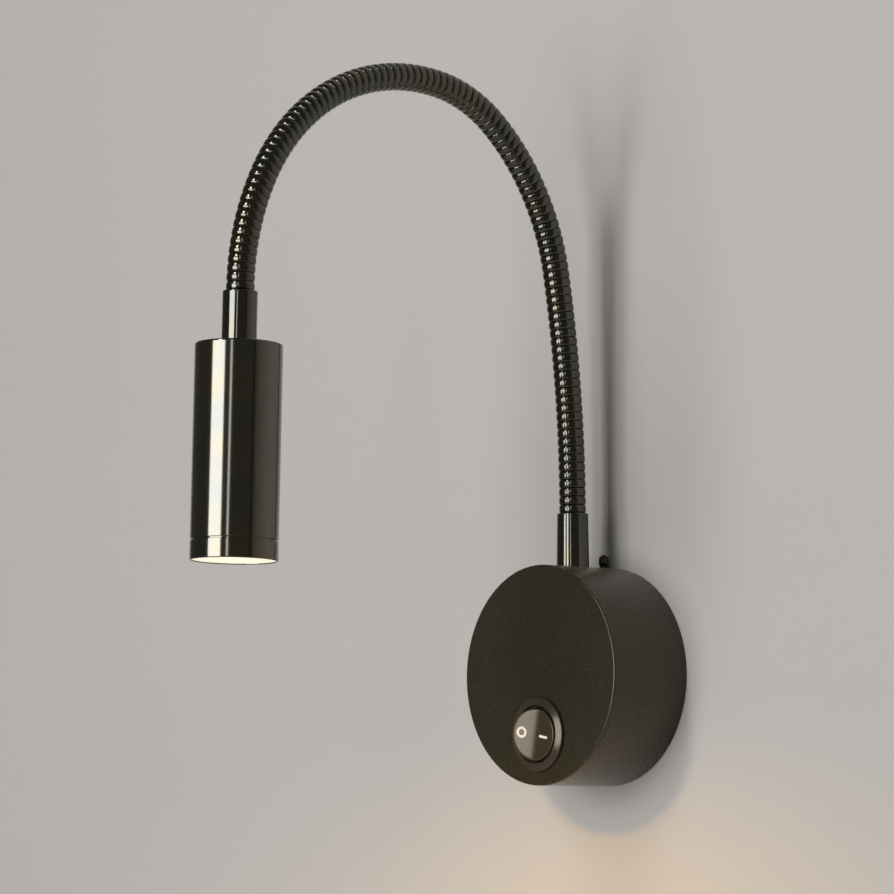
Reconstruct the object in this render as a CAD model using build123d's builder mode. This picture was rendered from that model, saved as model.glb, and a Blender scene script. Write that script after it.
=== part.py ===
"""Bedside wall reading lamp: round wall base with a rocker switch, ribbed gooseneck, slim spot head.

Millimetres. The wall is the plane y = 0, the room is at -y, +z is up, and the origin is the centre
of the base's back. Every size that can be set by itself has its own name below.
"""

from math import cos, degrees, pi, radians, sin, sqrt, tan
import os

from build123d import *

os.makedirs("parts", exist_ok=True)

# Clearances
fit = 0.05  # radial, between a pin or a threaded tail and its hole
gap = 0.3  # between pieces that lie side by side without touching
over = 1.0  # how far a cutting shape runs past what it cuts

# Base cup
base_radius = 40.0
base_depth = 35.5
base_wall = 1.8
base_chamfer = 0.6

# Neck: axis of its foot, its ferrules and the ribbed hose
neck_setback = 17.2  # from the cup's face to the axis of the neck's foot
neck_y = neck_setback - base_depth
ferrule_radius = 6.03
ferrule_tip_radius = 5.72  # the base ferrule tapers a little, upwards
ferrule_chamfer = 0.5
base_ferrule_top = 59.5
head_ferrule_length = 18.3
tail_radius = 4.95
tail_length = 9.5
hose_crest_radius = 4.95
hose_groove_depth = 0.3
hose_bore_radius = 3.4
hose_end_radius = 4.65  # the plain ends, crimped into the ferrules
hose_socket_depth = 9.9  # how far the plain ends of the hose go into the ferrules
hose_sides = 16  # the repeated ribs are kept light: flats outside and in the bore
bore_sides = 12
lead_hole_radius = 2.6

# Neck line from the base ferrule's mouth: short straight, then arcs (radius, turn in degrees), short straight
neck_straight = 1.5
foot_arc = 500.0
rise_arc = 86.0
top_arc = 53.0
fall_arc = 77.0
end_arc = 95.0
neck_arcs = [(foot_arc, 10.0), (rise_arc, 40.5), (top_arc, 30.5), (fall_arc, 72.5), (end_arc, 25.0)]
rigid_ribs = [13, 13, 13, 13, 13, 13]  # ribs on each stretch between bending places
flex_ribs = 5  # ribs on each bending place
bore_step = 15.0  # furthest apart that the bore's rings stand

# Nuts, washers and lug on the threaded tails
nut_across_flats = 14.0
nut_thickness = 3.0
washer_radius = 7.6
washer_thickness = 0.8
washer_teeth = 12
washer_tooth = 1.0
lug_thickness = 0.6
lug_width = 6.0
lug_reach = 12.0
lug_hole_y = 10.1  # from the tail's axis to the earth lead
boss_radius = 8.5
boss_height = 1.7  # how far the flat pad for the washer stands in from the cup's wall

# Wall bracket
bracket_gap = 1.2  # from the cup's wall, all round
bracket_thickness = 1.0
bracket_cable_radius = 7.0
bracket_radius = base_radius - base_wall - bracket_gap
bracket_hole_radius = 2.25
bracket_hole_inset = 12.0  # the two round wall-screw holes, in from the bracket's rim
bracket_slot_length = 8.0
bracket_slot_inset = 10.0  # the slots' middle line, in from the bracket's lower edge
bracket_slot_spread = 15.0
tab_width = 10.0
tab_reach = 7.0
cover_screw_y = -2.8
cover_screw_radius = 1.45
cover_screw_shank = 6.0
cover_screw_head_radius = 1.9
cover_screw_head_height = 4.8
cover_screw_crown = 1.1

# Rocker switch: u runs from the O end to the dash end, w along the pivot, h out of the face
switch_z = -21.5
switch_roll = 11.0
switch_hole_radius = 11.6
switch_barrel_depth = 18.0
bezel_radius = 13.4
bezel_thickness = 2.0
bezel_chamfer = 0.6
bezel_bore_radius = 10.5
recess_radius = 10.0
recess_depth = 5.2
cavity_length = 13.0
cavity_width = 6.8
cavity_depth = 15.5
clip_height = 0.8
clip_width = 6.0
clip_length = 6.0
pillar_inner = 5.4
pillar_outer = 7.4
pillar_width = 4.0
pillar_top = 0.2
rocker_radius = 9.4
rocker_tilt = 9.5  # each side of the middle
rocker_dish = 8.0  # rise of each half from the middle line
rocker_middle = 2.2
rocker_underside = 1.7
pivot_depth = 1.5
pin_radius = 0.9
pin_inner = 3.0
web_length = 4.8
web_width = 10.0
web_depth = 3.0
plunger_radius = 1.2
plunger_top = 3.0
plunger_reach = 10.0  # from the pivot to the tip
spring_wall = 0.35
bridge_tilt = 7.0
bridge_drop = 10.9  # from the rocker's pivot to the bridge's
bridge_length = 10.4
bridge_width = 4.4
bridge_thickness = 0.6
contact_offset = 4.6
blade_width = 4.8
blade_thickness = 0.8
blade_length = 8.0

# LED driver, stuck to the inside of the front face
driver_length = 46.0
driver_height = 20.0
driver_depth = 20.0
driver_wall = 1.2
driver_z = 2.0
driver_hole_radius = 1.2
pad_thickness = 0.8
pad_margin = 3.0
board_thickness = 1.2
board_margin = 0.4
transformer_length = 12.0
transformer_width = 11.0
transformer_height = 9.0
transformer_x = 12.0
transformer_core_width = 4.5
transformer_step = 1.5
capacitor_radius = 3.5
capacitor_height = 9.0
capacitor_x = -13.0
capacitor_drop = 5.0  # below the middle of the driver
driver_in_x = -15.0
driver_neutral_x = -10.0
driver_lead_z = 6.0
driver_led_z = 4.0
board_stand = 2.5
board_stand_width = 3.0

# Terminal block on the bracket
block_length = 25.0
block_height = 11.0
block_depth = 12.0
block_z = 21.5
block_pitch = 8.0
cage_width = 4.0
cage_wall = 0.9
block_screw_radius = 1.2
block_screw_length = 3.6
block_screw_drop = 2.7  # each side of the block's middle
block_fixing_x = 4.0
block_fixing_radius = 1.25
block_fixing_head_radius = 2.2
block_fixing_head_height = 1.6
earth_screw_inset = 13.0  # in from the bracket's rim
earth_screw_x = earth_screw_inset - bracket_radius
earth_screw_z = 10.2
earth_screw_radius = 1.9
earth_screw_head_radius = 3.6
earth_screw_head_height = 2.4

# Leads
wire_radius = 0.9
wire_bend = 1.2  # cut off each side of a corner
lead_sides = 12
wire_y = -3.6  # leads that run down behind the driver
live_turn_top = 4.0  # above and below the place where the live lead steps back to the wall
live_turn_foot = 2.0
earth_lead_start = 5.0  # the earth lead's slanted run, in from the pole and from its screw
earth_lead_end = 7.0
earth_lead_past = 2.0  # how far an earth lead's end reaches past its screw's middle
neck_earth_side = 7.0  # the neck's earth lead: out past its screw, up above it and in towards the middle
neck_earth_rise = 6.0
neck_earth_in = 8.0
neck_earth_front = 3.0
connector_width = 6.2
connector_thickness = 3.2
connector_length = 10.0
led_lead_radius = 1.4
led_lead_bend = 3.0
led_lead_step = 20.0  # furthest apart that the lead's rings stand inside the hose
led_lead_shift = 7.6  # off the head's axis, past the LED

# Head, measured along its axis from its ferrule's mouth
head_radius = 15.1
head_length = 74.1
head_wall = 1.8
head_top_thickness = 3.0
head_chamfer = 0.6
ring_length = 6.6
groove_width = 0.5
groove_depth = 0.8
spigot_length = 6.0
spigot_wall = 1.4
rim_width = 1.1
lens_thickness = 2.0
lens_recess = 0.3
gasket_thickness = 0.5
gasket_width = 1.0
ring_chamfer = 0.3
reflector_throat = 4.2
reflector_wall = 0.8
reflector_height = 12.5
led_board_radius = 10.0
led_board_thickness = 1.6
led_radius = 3.4
led_height = 0.9
board_screw_offset = 7.7
board_screw_radius = 1.25
board_screw_head_radius = 1.7
board_screw_head_height = 1.2
board_screw_length = 3.4
sink_thickness = 4.0
sink_fin_height = 14.0
sink_fin_thickness = 1.2
sink_fins = 4
sink_fin_pitch = 4.6
sink_fin_margin = 1.0  # from the fins' ends to the head's wall
sink_height = 20.5  # from the head's mouth to the LED's side of the sink

# ---- The neck's line ----

neck_runs = [(neck_straight, None)] + [(r * radians(turn), r) for r, turn in neck_arcs]
neck_length = sum(length for length, _ in neck_runs) + neck_straight
rib_count = sum(rigid_ribs) + flex_ribs * (len(rigid_ribs) - 1)
rib_pitch = neck_length / rib_count


def neck_plane(s):
    """Cross-section of the neck at length s from the base ferrule's mouth; straight on past both ends."""
    y, z, heading, left = neck_y, base_ferrule_top, 0.0, s
    for length, radius in neck_runs:
        step = min(left, length)
        if radius is None:
            y, z = y - step * sin(heading), z + step * cos(heading)
        else:
            after = heading + step / radius
            y += radius * (cos(after) - cos(heading))
            z += radius * (sin(after) - sin(heading))
            heading = after
        left -= step
    y, z = y - left * sin(heading), z + left * cos(heading)
    return Plane(origin=(0, y, z), x_dir=(1, 0, 0), z_dir=(0, -sin(heading), cos(heading)))


def finish(part, name):
    """Label a finished piece and write its file."""
    part.label = name
    export_step(part, f"parts/{name}.step")


# ---- Base cup, bracket and cover screw ----

front = Plane.XZ.offset(base_depth)  # the cup's face; sketch x is +x, sketch y is +z, normal is the room
cup_inner_radius = base_radius - base_wall
boss_z = cup_inner_radius - boss_height

with BuildPart() as base_cup:
    with BuildSketch(Plane.XY):
        with BuildLine():
            Polyline(
                (0, -base_depth),
                (base_radius - base_chamfer, -base_depth),
                (base_radius, -base_depth + base_chamfer),
                (base_radius, 0),
                (cup_inner_radius, 0),
                (cup_inner_radius, -base_depth + base_wall),
                (0, -base_depth + base_wall),
                close=True,
            )
        make_face()
    revolve(axis=Axis.Y)
    with BuildSketch(Plane.XY.offset(boss_z)):
        with Locations((0, neck_y)):
            Circle(boss_radius)
    extrude(amount=boss_height + base_wall / 3)
    with BuildSketch(Plane.XY.offset(boss_z)):
        with Locations((0, neck_y)):
            Circle(tail_radius + 2 * fit)
    extrude(amount=boss_height + 2 * base_wall, mode=Mode.SUBTRACT)
    with BuildSketch(front):
        with Locations((0, switch_z)):
            Circle(switch_hole_radius)
    extrude(amount=-2 * base_wall, mode=Mode.SUBTRACT)
    with BuildSketch(Plane.XY):
        with Locations((0, cover_screw_y)):
            Circle(cover_screw_radius + 3 * fit)
    extrude(amount=base_radius, mode=Mode.SUBTRACT)
finish(base_cup.part, "base_cup")

tab_z = bracket_radius
slot_z = bracket_slot_inset - bracket_radius
with BuildPart() as wall_bracket:
    with BuildSketch(Plane.XZ):
        Circle(bracket_radius)
        Circle(bracket_cable_radius, mode=Mode.SUBTRACT)
        with GridLocations(2 * (bracket_radius - bracket_hole_inset), 0, 2, 1):
            Circle(bracket_hole_radius, mode=Mode.SUBTRACT)
        with Locations((bracket_slot_spread, slot_z), (-bracket_slot_spread, slot_z)):
            SlotOverall(bracket_slot_length, 2 * bracket_hole_radius, mode=Mode.SUBTRACT)
        with Locations((earth_screw_x, earth_screw_z)):
            Circle(earth_screw_radius + fit, mode=Mode.SUBTRACT)
        with Locations((block_fixing_x, block_z)):
            Circle(block_fixing_radius + fit, mode=Mode.SUBTRACT)
    extrude(amount=bracket_thickness)
    with BuildSketch(Plane.XY.offset(tab_z)):
        with Locations((0, -tab_reach / 2)):
            Rectangle(tab_width, tab_reach)
        with Locations((0, cover_screw_y)):
            Circle(cover_screw_radius + fit, mode=Mode.SUBTRACT)
    extrude(amount=-bracket_thickness)
    with BuildSketch(Plane.XY.offset(-tab_z)):
        with Locations((0, -tab_reach / 2)):
            Rectangle(tab_width, tab_reach)
    extrude(amount=bracket_thickness)
finish(wall_bracket.part, "wall_bracket")

screw_section = Plane.XZ.offset(-cover_screw_y)
screw_axis = Axis((0, cover_screw_y, 0), (0, 0, 1))
with BuildPart() as cover_screw:
    with BuildSketch(screw_section):
        with BuildLine():
            head_bottom = base_radius + fit / 2
            head_top = head_bottom + cover_screw_head_height
            Polyline(
                (0, head_top),
                (cover_screw_head_radius - cover_screw_crown, head_top),
                (cover_screw_head_radius, head_top - cover_screw_crown),
                (cover_screw_head_radius, head_bottom),
                (cover_screw_radius, head_bottom),
                (cover_screw_radius, base_radius - cover_screw_shank),
                (0, base_radius - cover_screw_shank),
                close=True,
            )
        make_face()
    revolve(axis=screw_axis)
finish(cover_screw.part, "cover_screw")

# ---- Rocker switch ----

roll = radians(switch_roll)
switch_u = Vector(cos(roll), 0, -sin(roll))
switch_w = Vector(sin(roll), 0, cos(roll))
outward = Vector(0, -1, 0)
switch_centre = Vector(0, -base_depth, switch_z)


def switch_plane(height):
    """Parallel to the face, height out of it; sketch x is u and sketch y is w."""
    return Plane(origin=switch_centre + outward * height, x_dir=switch_u, z_dir=outward)


with BuildPart() as switch_housing:
    with BuildSketch(switch_plane(0)):
        Circle(bezel_radius)
    extrude(amount=bezel_thickness)
    chamfer(switch_housing.edges().filter_by(GeomType.CIRCLE).sort_by(Axis.Y)[0], bezel_chamfer)
    with BuildSketch(switch_plane(0)):
        Circle(switch_hole_radius - 2 * fit)
    extrude(amount=-switch_barrel_depth)
    with BuildSketch(switch_plane(-base_wall - fit)):
        Rectangle(2 * (switch_hole_radius + clip_height), clip_width)
    extrude(amount=-clip_length)
    with BuildSketch(switch_plane(0)):
        Circle(bezel_bore_radius)
    extrude(amount=bezel_thickness, mode=Mode.SUBTRACT)
    with BuildSketch(switch_plane(0)):
        Circle(recess_radius)
    extrude(amount=-recess_depth, mode=Mode.SUBTRACT)
    with BuildSketch(switch_plane(-recess_depth)):
        Rectangle(cavity_length, cavity_width)
    extrude(amount=recess_depth - cavity_depth, mode=Mode.SUBTRACT)
    with BuildSketch(switch_plane(-recess_depth)):
        with GridLocations(0, pillar_inner + pillar_outer, 1, 2):
            Rectangle(pillar_width, pillar_outer - pillar_inner)
    extrude(amount=recess_depth + pillar_top)
    with BuildSketch(Plane(origin=switch_centre - outward * pivot_depth, x_dir=switch_u, z_dir=switch_w)):
        Circle(pin_radius + fit / 2)
    extrude(amount=pillar_outer, both=True, mode=Mode.SUBTRACT)
    with BuildSketch(switch_plane(-cavity_depth)):
        with Locations((0, 0), (-contact_offset, 0)):
            Rectangle(blade_thickness + 2 * fit, blade_width + 2 * fit)
    extrude(amount=cavity_depth - switch_barrel_depth, mode=Mode.SUBTRACT)
finish(switch_housing.part, "switch_housing")

pivot = switch_centre - outward * pivot_depth
tilt = radians(rocker_tilt)
rocker_u = switch_u * cos(tilt) - outward * sin(tilt)
rocker_h = outward * cos(tilt) + switch_u * sin(tilt)
rocker_section = Plane(origin=pivot, x_dir=rocker_u, z_dir=-switch_w)
rocker_top_plane = Plane(origin=pivot, x_dir=rocker_u, z_dir=rocker_h)
rocker_rim = rocker_middle + pivot_depth + rocker_radius * tan(radians(rocker_dish))

with BuildPart() as rocker:
    with BuildSketch(rocker_section):
        with BuildLine():
            Polyline(
                (-rocker_radius - over, rocker_underside + pivot_depth),
                (rocker_radius + over, rocker_underside + pivot_depth),
                (rocker_radius + over, rocker_rim + over * tan(radians(rocker_dish))),
                (0, rocker_middle + pivot_depth),
                (-rocker_radius - over, rocker_rim + over * tan(radians(rocker_dish))),
                close=True,
            )
        make_face()
    extrude(amount=rocker_radius + over, both=True)
    with BuildSketch(rocker_top_plane):
        Circle(rocker_radius)
    extrude(amount=2 * rocker_radius, mode=Mode.INTERSECT)
    with BuildSketch(rocker_top_plane.offset(rocker_underside + pivot_depth)):
        Rectangle(web_length, web_width)
    extrude(amount=-(rocker_underside + web_depth))
    with BuildSketch(Plane(origin=pivot, x_dir=rocker_u, z_dir=switch_w)):
        Circle(pin_radius + fit)
    extrude(amount=web_width, both=True, mode=Mode.SUBTRACT)
    with BuildSketch(rocker_top_plane.offset(rocker_underside + pivot_depth)):
        Circle(plunger_radius + fit)
    extrude(amount=-(rocker_underside + web_depth + over), mode=Mode.SUBTRACT)
finish(rocker.part, "rocker")

with BuildPart() as rocker_pins:
    for side in (1, -1):
        with BuildSketch(Plane(origin=pivot + switch_w * side * pin_inner, x_dir=switch_u, z_dir=switch_w * side)):
            Circle(pin_radius)
        extrude(amount=pillar_outer - pin_inner)
finish(rocker_pins.part, "rocker_pins")

with BuildPart() as plunger:
    with BuildSketch(rocker_top_plane.offset(-plunger_reach)):
        Circle(plunger_radius)
    extrude(amount=plunger_reach - plunger_top + pivot_depth)
    chamfer(plunger.faces().sort_by(Axis(pivot, rocker_h))[0].edges(), plunger_radius / 2)
finish(plunger.part, "plunger")

with BuildPart() as plunger_spring:
    with BuildSketch(rocker_top_plane.offset(pivot_depth - plunger_top)):
        Circle(plunger_radius - fit)
        Circle(plunger_radius - fit - spring_wall, mode=Mode.SUBTRACT)
    extrude(amount=plunger_top + rocker_underside)
finish(plunger_spring.part, "plunger_spring")

bridge_slope = radians(bridge_tilt)
bridge_pivot = pivot - outward * bridge_drop
bridge_u = switch_u * cos(bridge_slope) + outward * sin(bridge_slope)
with BuildPart() as contact_bridge:
    with BuildSketch(Plane(origin=bridge_pivot, x_dir=bridge_u, z_dir=-switch_w)):
        with Locations((0, bridge_thickness / 2)):
            Rectangle(bridge_length, bridge_thickness)
    extrude(amount=bridge_width / 2, both=True)
finish(contact_bridge.part, "contact_bridge")

blade_end = -switch_barrel_depth - blade_length
pivot_height = -pivot_depth - bridge_drop
with BuildPart() as common_terminal:
    with BuildSketch(switch_plane(blade_end)):
        Rectangle(blade_thickness, blade_width)
    extrude(amount=pivot_height - 2 * fit - blade_end)
    chamfer(
        common_terminal.faces().sort_by(Axis.Y)[0].edges().filter_by(Axis((0, 0, 0), switch_w)),
        blade_thickness / 2 - fit,
    )
finish(common_terminal.part, "common_terminal")

contact_top = pivot_height - contact_offset * tan(bridge_slope) - 2 * fit
with BuildPart() as load_terminal:
    with BuildSketch(switch_plane(blade_end)):
        with Locations((-contact_offset, 0)):
            Rectangle(blade_thickness, blade_width)
    extrude(amount=contact_top - blade_end)
finish(load_terminal.part, "load_terminal")

# ---- LED driver ----

pad_y = -base_depth + base_wall
driver_front_y = pad_y + pad_thickness
driver_back_y = driver_front_y + driver_depth
with BuildPart() as driver_pad:
    with BuildSketch(Plane.XZ.offset(-pad_y)):
        with Locations((0, driver_z)):
            Rectangle(driver_length - 2 * pad_margin, driver_height - 2 * pad_margin)
    extrude(amount=-pad_thickness)
finish(driver_pad.part, "driver_pad")

with BuildPart() as driver_case:
    with BuildSketch(Plane.XZ.offset(-driver_front_y)):
        with Locations((0, driver_z)):
            Rectangle(driver_length, driver_height)
    extrude(amount=-(driver_depth - driver_wall))
    with BuildSketch(Plane.XZ.offset(-driver_front_y - driver_wall)):
        with Locations((0, driver_z)):
            Rectangle(driver_length - 2 * driver_wall, driver_height - 2 * driver_wall)
    extrude(amount=-driver_depth, mode=Mode.SUBTRACT)
    with BuildSketch(Plane.XZ.offset(-driver_front_y - driver_wall)):
        with Locations((0, driver_z)):
            with GridLocations(driver_length - 2 * driver_wall - board_stand_width, 0, 2, 1):
                Rectangle(board_stand_width, driver_height - driver_wall)
    extrude(amount=-board_stand)
    with BuildSketch(Plane.XY.offset(driver_z)):
        with Locations((0, neck_y)):
            Circle(led_lead_radius + gap)
    extrude(amount=driver_height, mode=Mode.SUBTRACT)
finish(driver_case.part, "driver_case")

with BuildPart() as driver_lid:
    with BuildSketch(Plane.XZ.offset(-driver_back_y)):
        with Locations((0, driver_z)):
            Rectangle(driver_length, driver_height)
        with Locations((driver_in_x, driver_lead_z), (driver_neutral_x, driver_lead_z)):
            Circle(driver_hole_radius, mode=Mode.SUBTRACT)
    extrude(amount=driver_wall)
finish(driver_lid.part, "driver_lid")

board_back_y = driver_front_y + driver_wall + board_stand + board_thickness
with BuildPart() as driver_board:
    with BuildSketch(Plane.XZ.offset(-board_back_y)):
        with Locations((0, driver_z)):
            Rectangle(
                driver_length - 2 * driver_wall - 2 * board_margin,
                driver_height - 2 * driver_wall - 2 * board_margin,
            )
    extrude(amount=board_thickness)
finish(driver_board.part, "driver_board")

with BuildPart() as driver_transformer:
    with BuildSketch(Plane.XZ.offset(-board_back_y)):
        with Locations((transformer_x, driver_z)):
            Rectangle(transformer_length, transformer_core_width)
    extrude(amount=-transformer_height)
    with BuildSketch(Plane.XZ.offset(-board_back_y)):
        with Locations((transformer_x, driver_z)):
            Rectangle(transformer_length - 2 * transformer_step, transformer_width)
    extrude(amount=-(transformer_height - transformer_step))
finish(driver_transformer.part, "driver_transformer")

with BuildPart() as driver_capacitor:
    with BuildSketch(Plane.XZ.offset(-board_back_y)):
        with Locations((capacitor_x, driver_z - capacitor_drop)):
            Circle(capacitor_radius)
    extrude(amount=-capacitor_height)
finish(driver_capacitor.part, "driver_capacitor")

# ---- Terminal block and earth screw ----

block_back_y = -bracket_thickness
cage_y = block_back_y - block_depth / 2
block_front_y = block_back_y - block_depth
pole_spots = [(i * block_pitch, cage_y) for i in (-1, 0, 1)]
clamp_spots = [(i * block_pitch, block_z + side * block_screw_drop) for i in (-1, 0, 1) for side in (-1, 1)]

with BuildPart() as terminal_block:
    with BuildSketch(Plane.XZ.offset(-block_back_y)):
        with Locations((0, block_z)):
            Rectangle(block_length, block_height)
    extrude(amount=block_depth)
    with BuildSketch(Plane.XY.offset(block_z)):
        with Locations(*pole_spots):
            Rectangle(cage_width + 2 * fit, cage_width + 2 * fit)
    extrude(amount=block_height, both=True, mode=Mode.SUBTRACT)
    with BuildSketch(Plane.XZ.offset(-block_front_y)):
        with Locations(*clamp_spots):
            Circle(block_screw_radius + gap)
    extrude(amount=-block_depth / 2, mode=Mode.SUBTRACT)
    with BuildSketch(Plane.XZ.offset(-block_back_y)):
        with Locations((block_fixing_x, block_z)):
            Circle(block_fixing_radius + fit)
    extrude(amount=block_depth, mode=Mode.SUBTRACT)
finish(terminal_block.part, "terminal_block")

with BuildPart() as terminal_cages:
    with BuildSketch(Plane.XY.offset(block_z)):
        with Locations(*pole_spots):
            Rectangle(cage_width, cage_width)
            Rectangle(cage_width - 2 * cage_wall, cage_width - 2 * cage_wall, mode=Mode.SUBTRACT)
    extrude(amount=block_height / 2 - gap, both=True)
    with BuildSketch(Plane.XZ.offset(-cage_y)):
        with Locations(*clamp_spots):
            Circle(block_screw_radius + fit)
    extrude(amount=cage_width, mode=Mode.SUBTRACT)
finish(terminal_cages.part, "terminal_cages")

with BuildPart() as terminal_screws:
    with BuildSketch(Plane.XZ.offset(-cage_y + wire_radius + fit)):
        with Locations(*clamp_spots):
            Circle(block_screw_radius)
    extrude(amount=block_screw_length)
finish(terminal_screws.part, "terminal_screws")

with BuildPart() as block_screw:
    with BuildSketch(Plane.XZ.offset(-block_front_y)):
        with Locations((block_fixing_x, block_z)):
            Circle(block_fixing_radius)
    extrude(amount=-(block_depth + bracket_thickness))
    with BuildSketch(Plane.XZ.offset(-block_front_y)):
        with Locations((block_fixing_x, block_z)):
            Circle(block_fixing_head_radius)
    extrude(amount=block_fixing_head_height)
finish(block_screw.part, "block_screw")

earth_wire_y = -bracket_thickness - wire_radius - fit
with BuildPart() as earth_screw:
    with BuildSketch(Plane.XZ):
        with Locations((earth_screw_x, earth_screw_z)):
            Circle(earth_screw_radius)
    extrude(amount=-earth_wire_y + wire_radius + fit)
    with BuildSketch(Plane.XZ.offset(-earth_wire_y + wire_radius + fit)):
        with Locations((earth_screw_x, earth_screw_z)):
            Circle(earth_screw_head_radius)
    extrude(amount=earth_screw_head_height)
finish(earth_screw.part, "earth_screw")

# ---- Leads ----


def cut_corners(points, cut):
    """The same run of points with every corner cut off at this distance from it."""
    corners = [Vector(*point) for point in points]
    run = [corners[0]]
    for before, corner, after in zip(corners, corners[1:], corners[2:]):
        run.append(corner + (before - corner).normalized() * cut)
        run.append(corner + (after - corner).normalized() * cut)
    return run + [corners[-1]]


def lead(name, points, radius):
    """Many-sided lead along straight runs, mitred where they meet."""
    direction = (points[1] - points[0]).normalized()
    across = Vector(1, 0, 0) if abs(direction.X) < 0.9 else Vector(0, 1, 0)
    with BuildPart() as tube:
        with BuildLine():
            Polyline(*points)
        with BuildSketch(Plane(origin=points[0], x_dir=across, z_dir=direction)):
            RegularPolygon(radius, lead_sides)
        sweep(transition=Transition.RIGHT)
    finish(tube.part, name)


pole_end_z = block_z - block_screw_drop - block_screw_radius
earth_pole_x, neutral_pole_x, live_pole_x = (x for x, _ in pole_spots)
connector_back = -switch_barrel_depth - gap - connector_length
common_spot = switch_centre + outward * connector_back
load_spot = common_spot - switch_u * contact_offset

with BuildPart() as blade_connectors:
    with BuildSketch(switch_plane(-switch_barrel_depth - gap)):
        with Locations((0, 0), (-contact_offset, 0)):
            Rectangle(connector_thickness, connector_width)
            Rectangle(blade_thickness + 2 * fit, blade_width + 2 * fit, mode=Mode.SUBTRACT)
    extrude(amount=-blade_length + gap)
    with BuildSketch(switch_plane(-switch_barrel_depth - blade_length)):
        with Locations((0, 0), (-contact_offset, 0)):
            Rectangle(connector_thickness, connector_width)
    extrude(amount=blade_length + gap - connector_length)
finish(blade_connectors.part, "blade_connectors")

run_down = pole_end_z - block_height
live_path = [
    (live_pole_x, cage_y, pole_end_z),
    (live_pole_x, cage_y, run_down + live_turn_top),
    (live_pole_x, wire_y, run_down - live_turn_foot),
    (live_pole_x, wire_y, common_spot.Z),
    (common_spot.X, wire_y, common_spot.Z),
    (common_spot.X, common_spot.Y, common_spot.Z),
]
lead("live_lead", cut_corners(live_path, wire_bend), wire_radius)

switched_path = [
    (load_spot.X, load_spot.Y, load_spot.Z),
    (load_spot.X, wire_y, load_spot.Z),
    (driver_in_x, wire_y, load_spot.Z),
    (driver_in_x, wire_y, driver_lead_z),
    (driver_in_x, board_back_y, driver_lead_z),
]
lead("switched_lead", cut_corners(switched_path, wire_bend), wire_radius)

neutral_path = [
    (neutral_pole_x, cage_y, pole_end_z),
    (neutral_pole_x, cage_y, driver_lead_z),
    (driver_neutral_x, cage_y, driver_lead_z),
    (driver_neutral_x, board_back_y, driver_lead_z),
]
lead("neutral_lead", cut_corners(neutral_path, wire_bend), wire_radius)

earth_offset = earth_screw_radius + wire_radius + fit
earth_path = [
    (earth_pole_x, cage_y, pole_end_z),
    (earth_pole_x, cage_y, earth_screw_z + earth_offset),
    (earth_pole_x - earth_lead_start, cage_y, earth_screw_z + earth_offset),
    (earth_screw_x + earth_lead_end, earth_wire_y, earth_screw_z + earth_offset),
    (earth_screw_x - earth_lead_past, earth_wire_y, earth_screw_z + earth_offset),
]
lead("earth_lead", cut_corners(earth_path, wire_bend / 2), wire_radius)

washer_z = boss_z - washer_thickness
lug_z = washer_z - lug_thickness
neck_lead_y = neck_y + lug_hole_y
side_x = earth_screw_x - neck_earth_side
across_z = (lug_z + block_z + block_height / 2) / 2  # midway between the lug and the terminal block
neck_earth_path = [
    (0, neck_lead_y, lug_z),
    (0, neck_lead_y, across_z),
    (earth_screw_x + neck_earth_in, neck_lead_y + neck_earth_front, across_z),
    (side_x, earth_wire_y, earth_screw_z + neck_earth_rise),
    (side_x, earth_wire_y, earth_screw_z - earth_offset),
    (earth_screw_x + earth_lead_past, earth_wire_y, earth_screw_z - earth_offset),
]
lead("neck_earth_lead", cut_corners(neck_earth_path, wire_bend), wire_radius)

# ---- Foot of the neck ----


ferrule_rings = [
    (base_radius - over, ferrule_radius),
    (base_ferrule_top - ferrule_chamfer, ferrule_tip_radius),
    (base_ferrule_top, ferrule_tip_radius - ferrule_chamfer),
]
with BuildPart() as base_ferrule:
    for height, radius in ferrule_rings:
        with BuildSketch(Plane.XY.offset(height)):
            with Locations((0, neck_y)):
                Circle(radius)
    loft(ruled=True)
    with BuildSketch(Plane.XZ):
        Circle(base_radius)
    extrude(amount=base_depth, mode=Mode.SUBTRACT)
    with BuildSketch(Plane.XY.offset(base_radius + over)):
        with Locations((0, neck_y)):
            Circle(tail_radius)
    extrude(amount=-(tail_length + over))
    with BuildSketch(Plane.XY.offset(base_ferrule_top)):
        with Locations((0, neck_y)):
            Circle(hose_end_radius + fit)
    extrude(amount=-hose_socket_depth, mode=Mode.SUBTRACT)
    with BuildSketch(Plane.XY.offset(base_ferrule_top)):
        with Locations((0, neck_y)):
            Circle(lead_hole_radius)
    extrude(amount=-base_ferrule_top, mode=Mode.SUBTRACT)
finish(base_ferrule.part, "base_ferrule")


def toothed_washer(name, plane):
    """Flat ring with pointed teeth around it."""
    points = []
    for i in range(2 * washer_teeth):
        reach = washer_radius - (i % 2) * washer_tooth
        points.append((reach * cos(i * pi / washer_teeth), reach * sin(i * pi / washer_teeth)))
    with BuildPart() as washer:
        with BuildSketch(plane):
            with BuildLine():
                Polyline(*points, close=True)
            make_face()
            Circle(tail_radius + fit, mode=Mode.SUBTRACT)
        extrude(amount=washer_thickness)
    finish(washer.part, name)


def hexagon_nut(name, plane):
    """Flat hexagon nut for the threaded tails."""
    with BuildPart() as nut:
        with BuildSketch(plane):
            RegularPolygon(nut_across_flats / 2, 6, major_radius=False)
            Circle(tail_radius + fit, mode=Mode.SUBTRACT)
        extrude(amount=nut_thickness)
    finish(nut.part, name)


def under(height):
    """Across the neck's foot at this height; drawn on from its top, extruded downwards."""
    return Plane(origin=(0, neck_y, height), x_dir=(1, 0, 0), z_dir=(0, 0, -1))


toothed_washer("neck_washer", under(boss_z))

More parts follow.
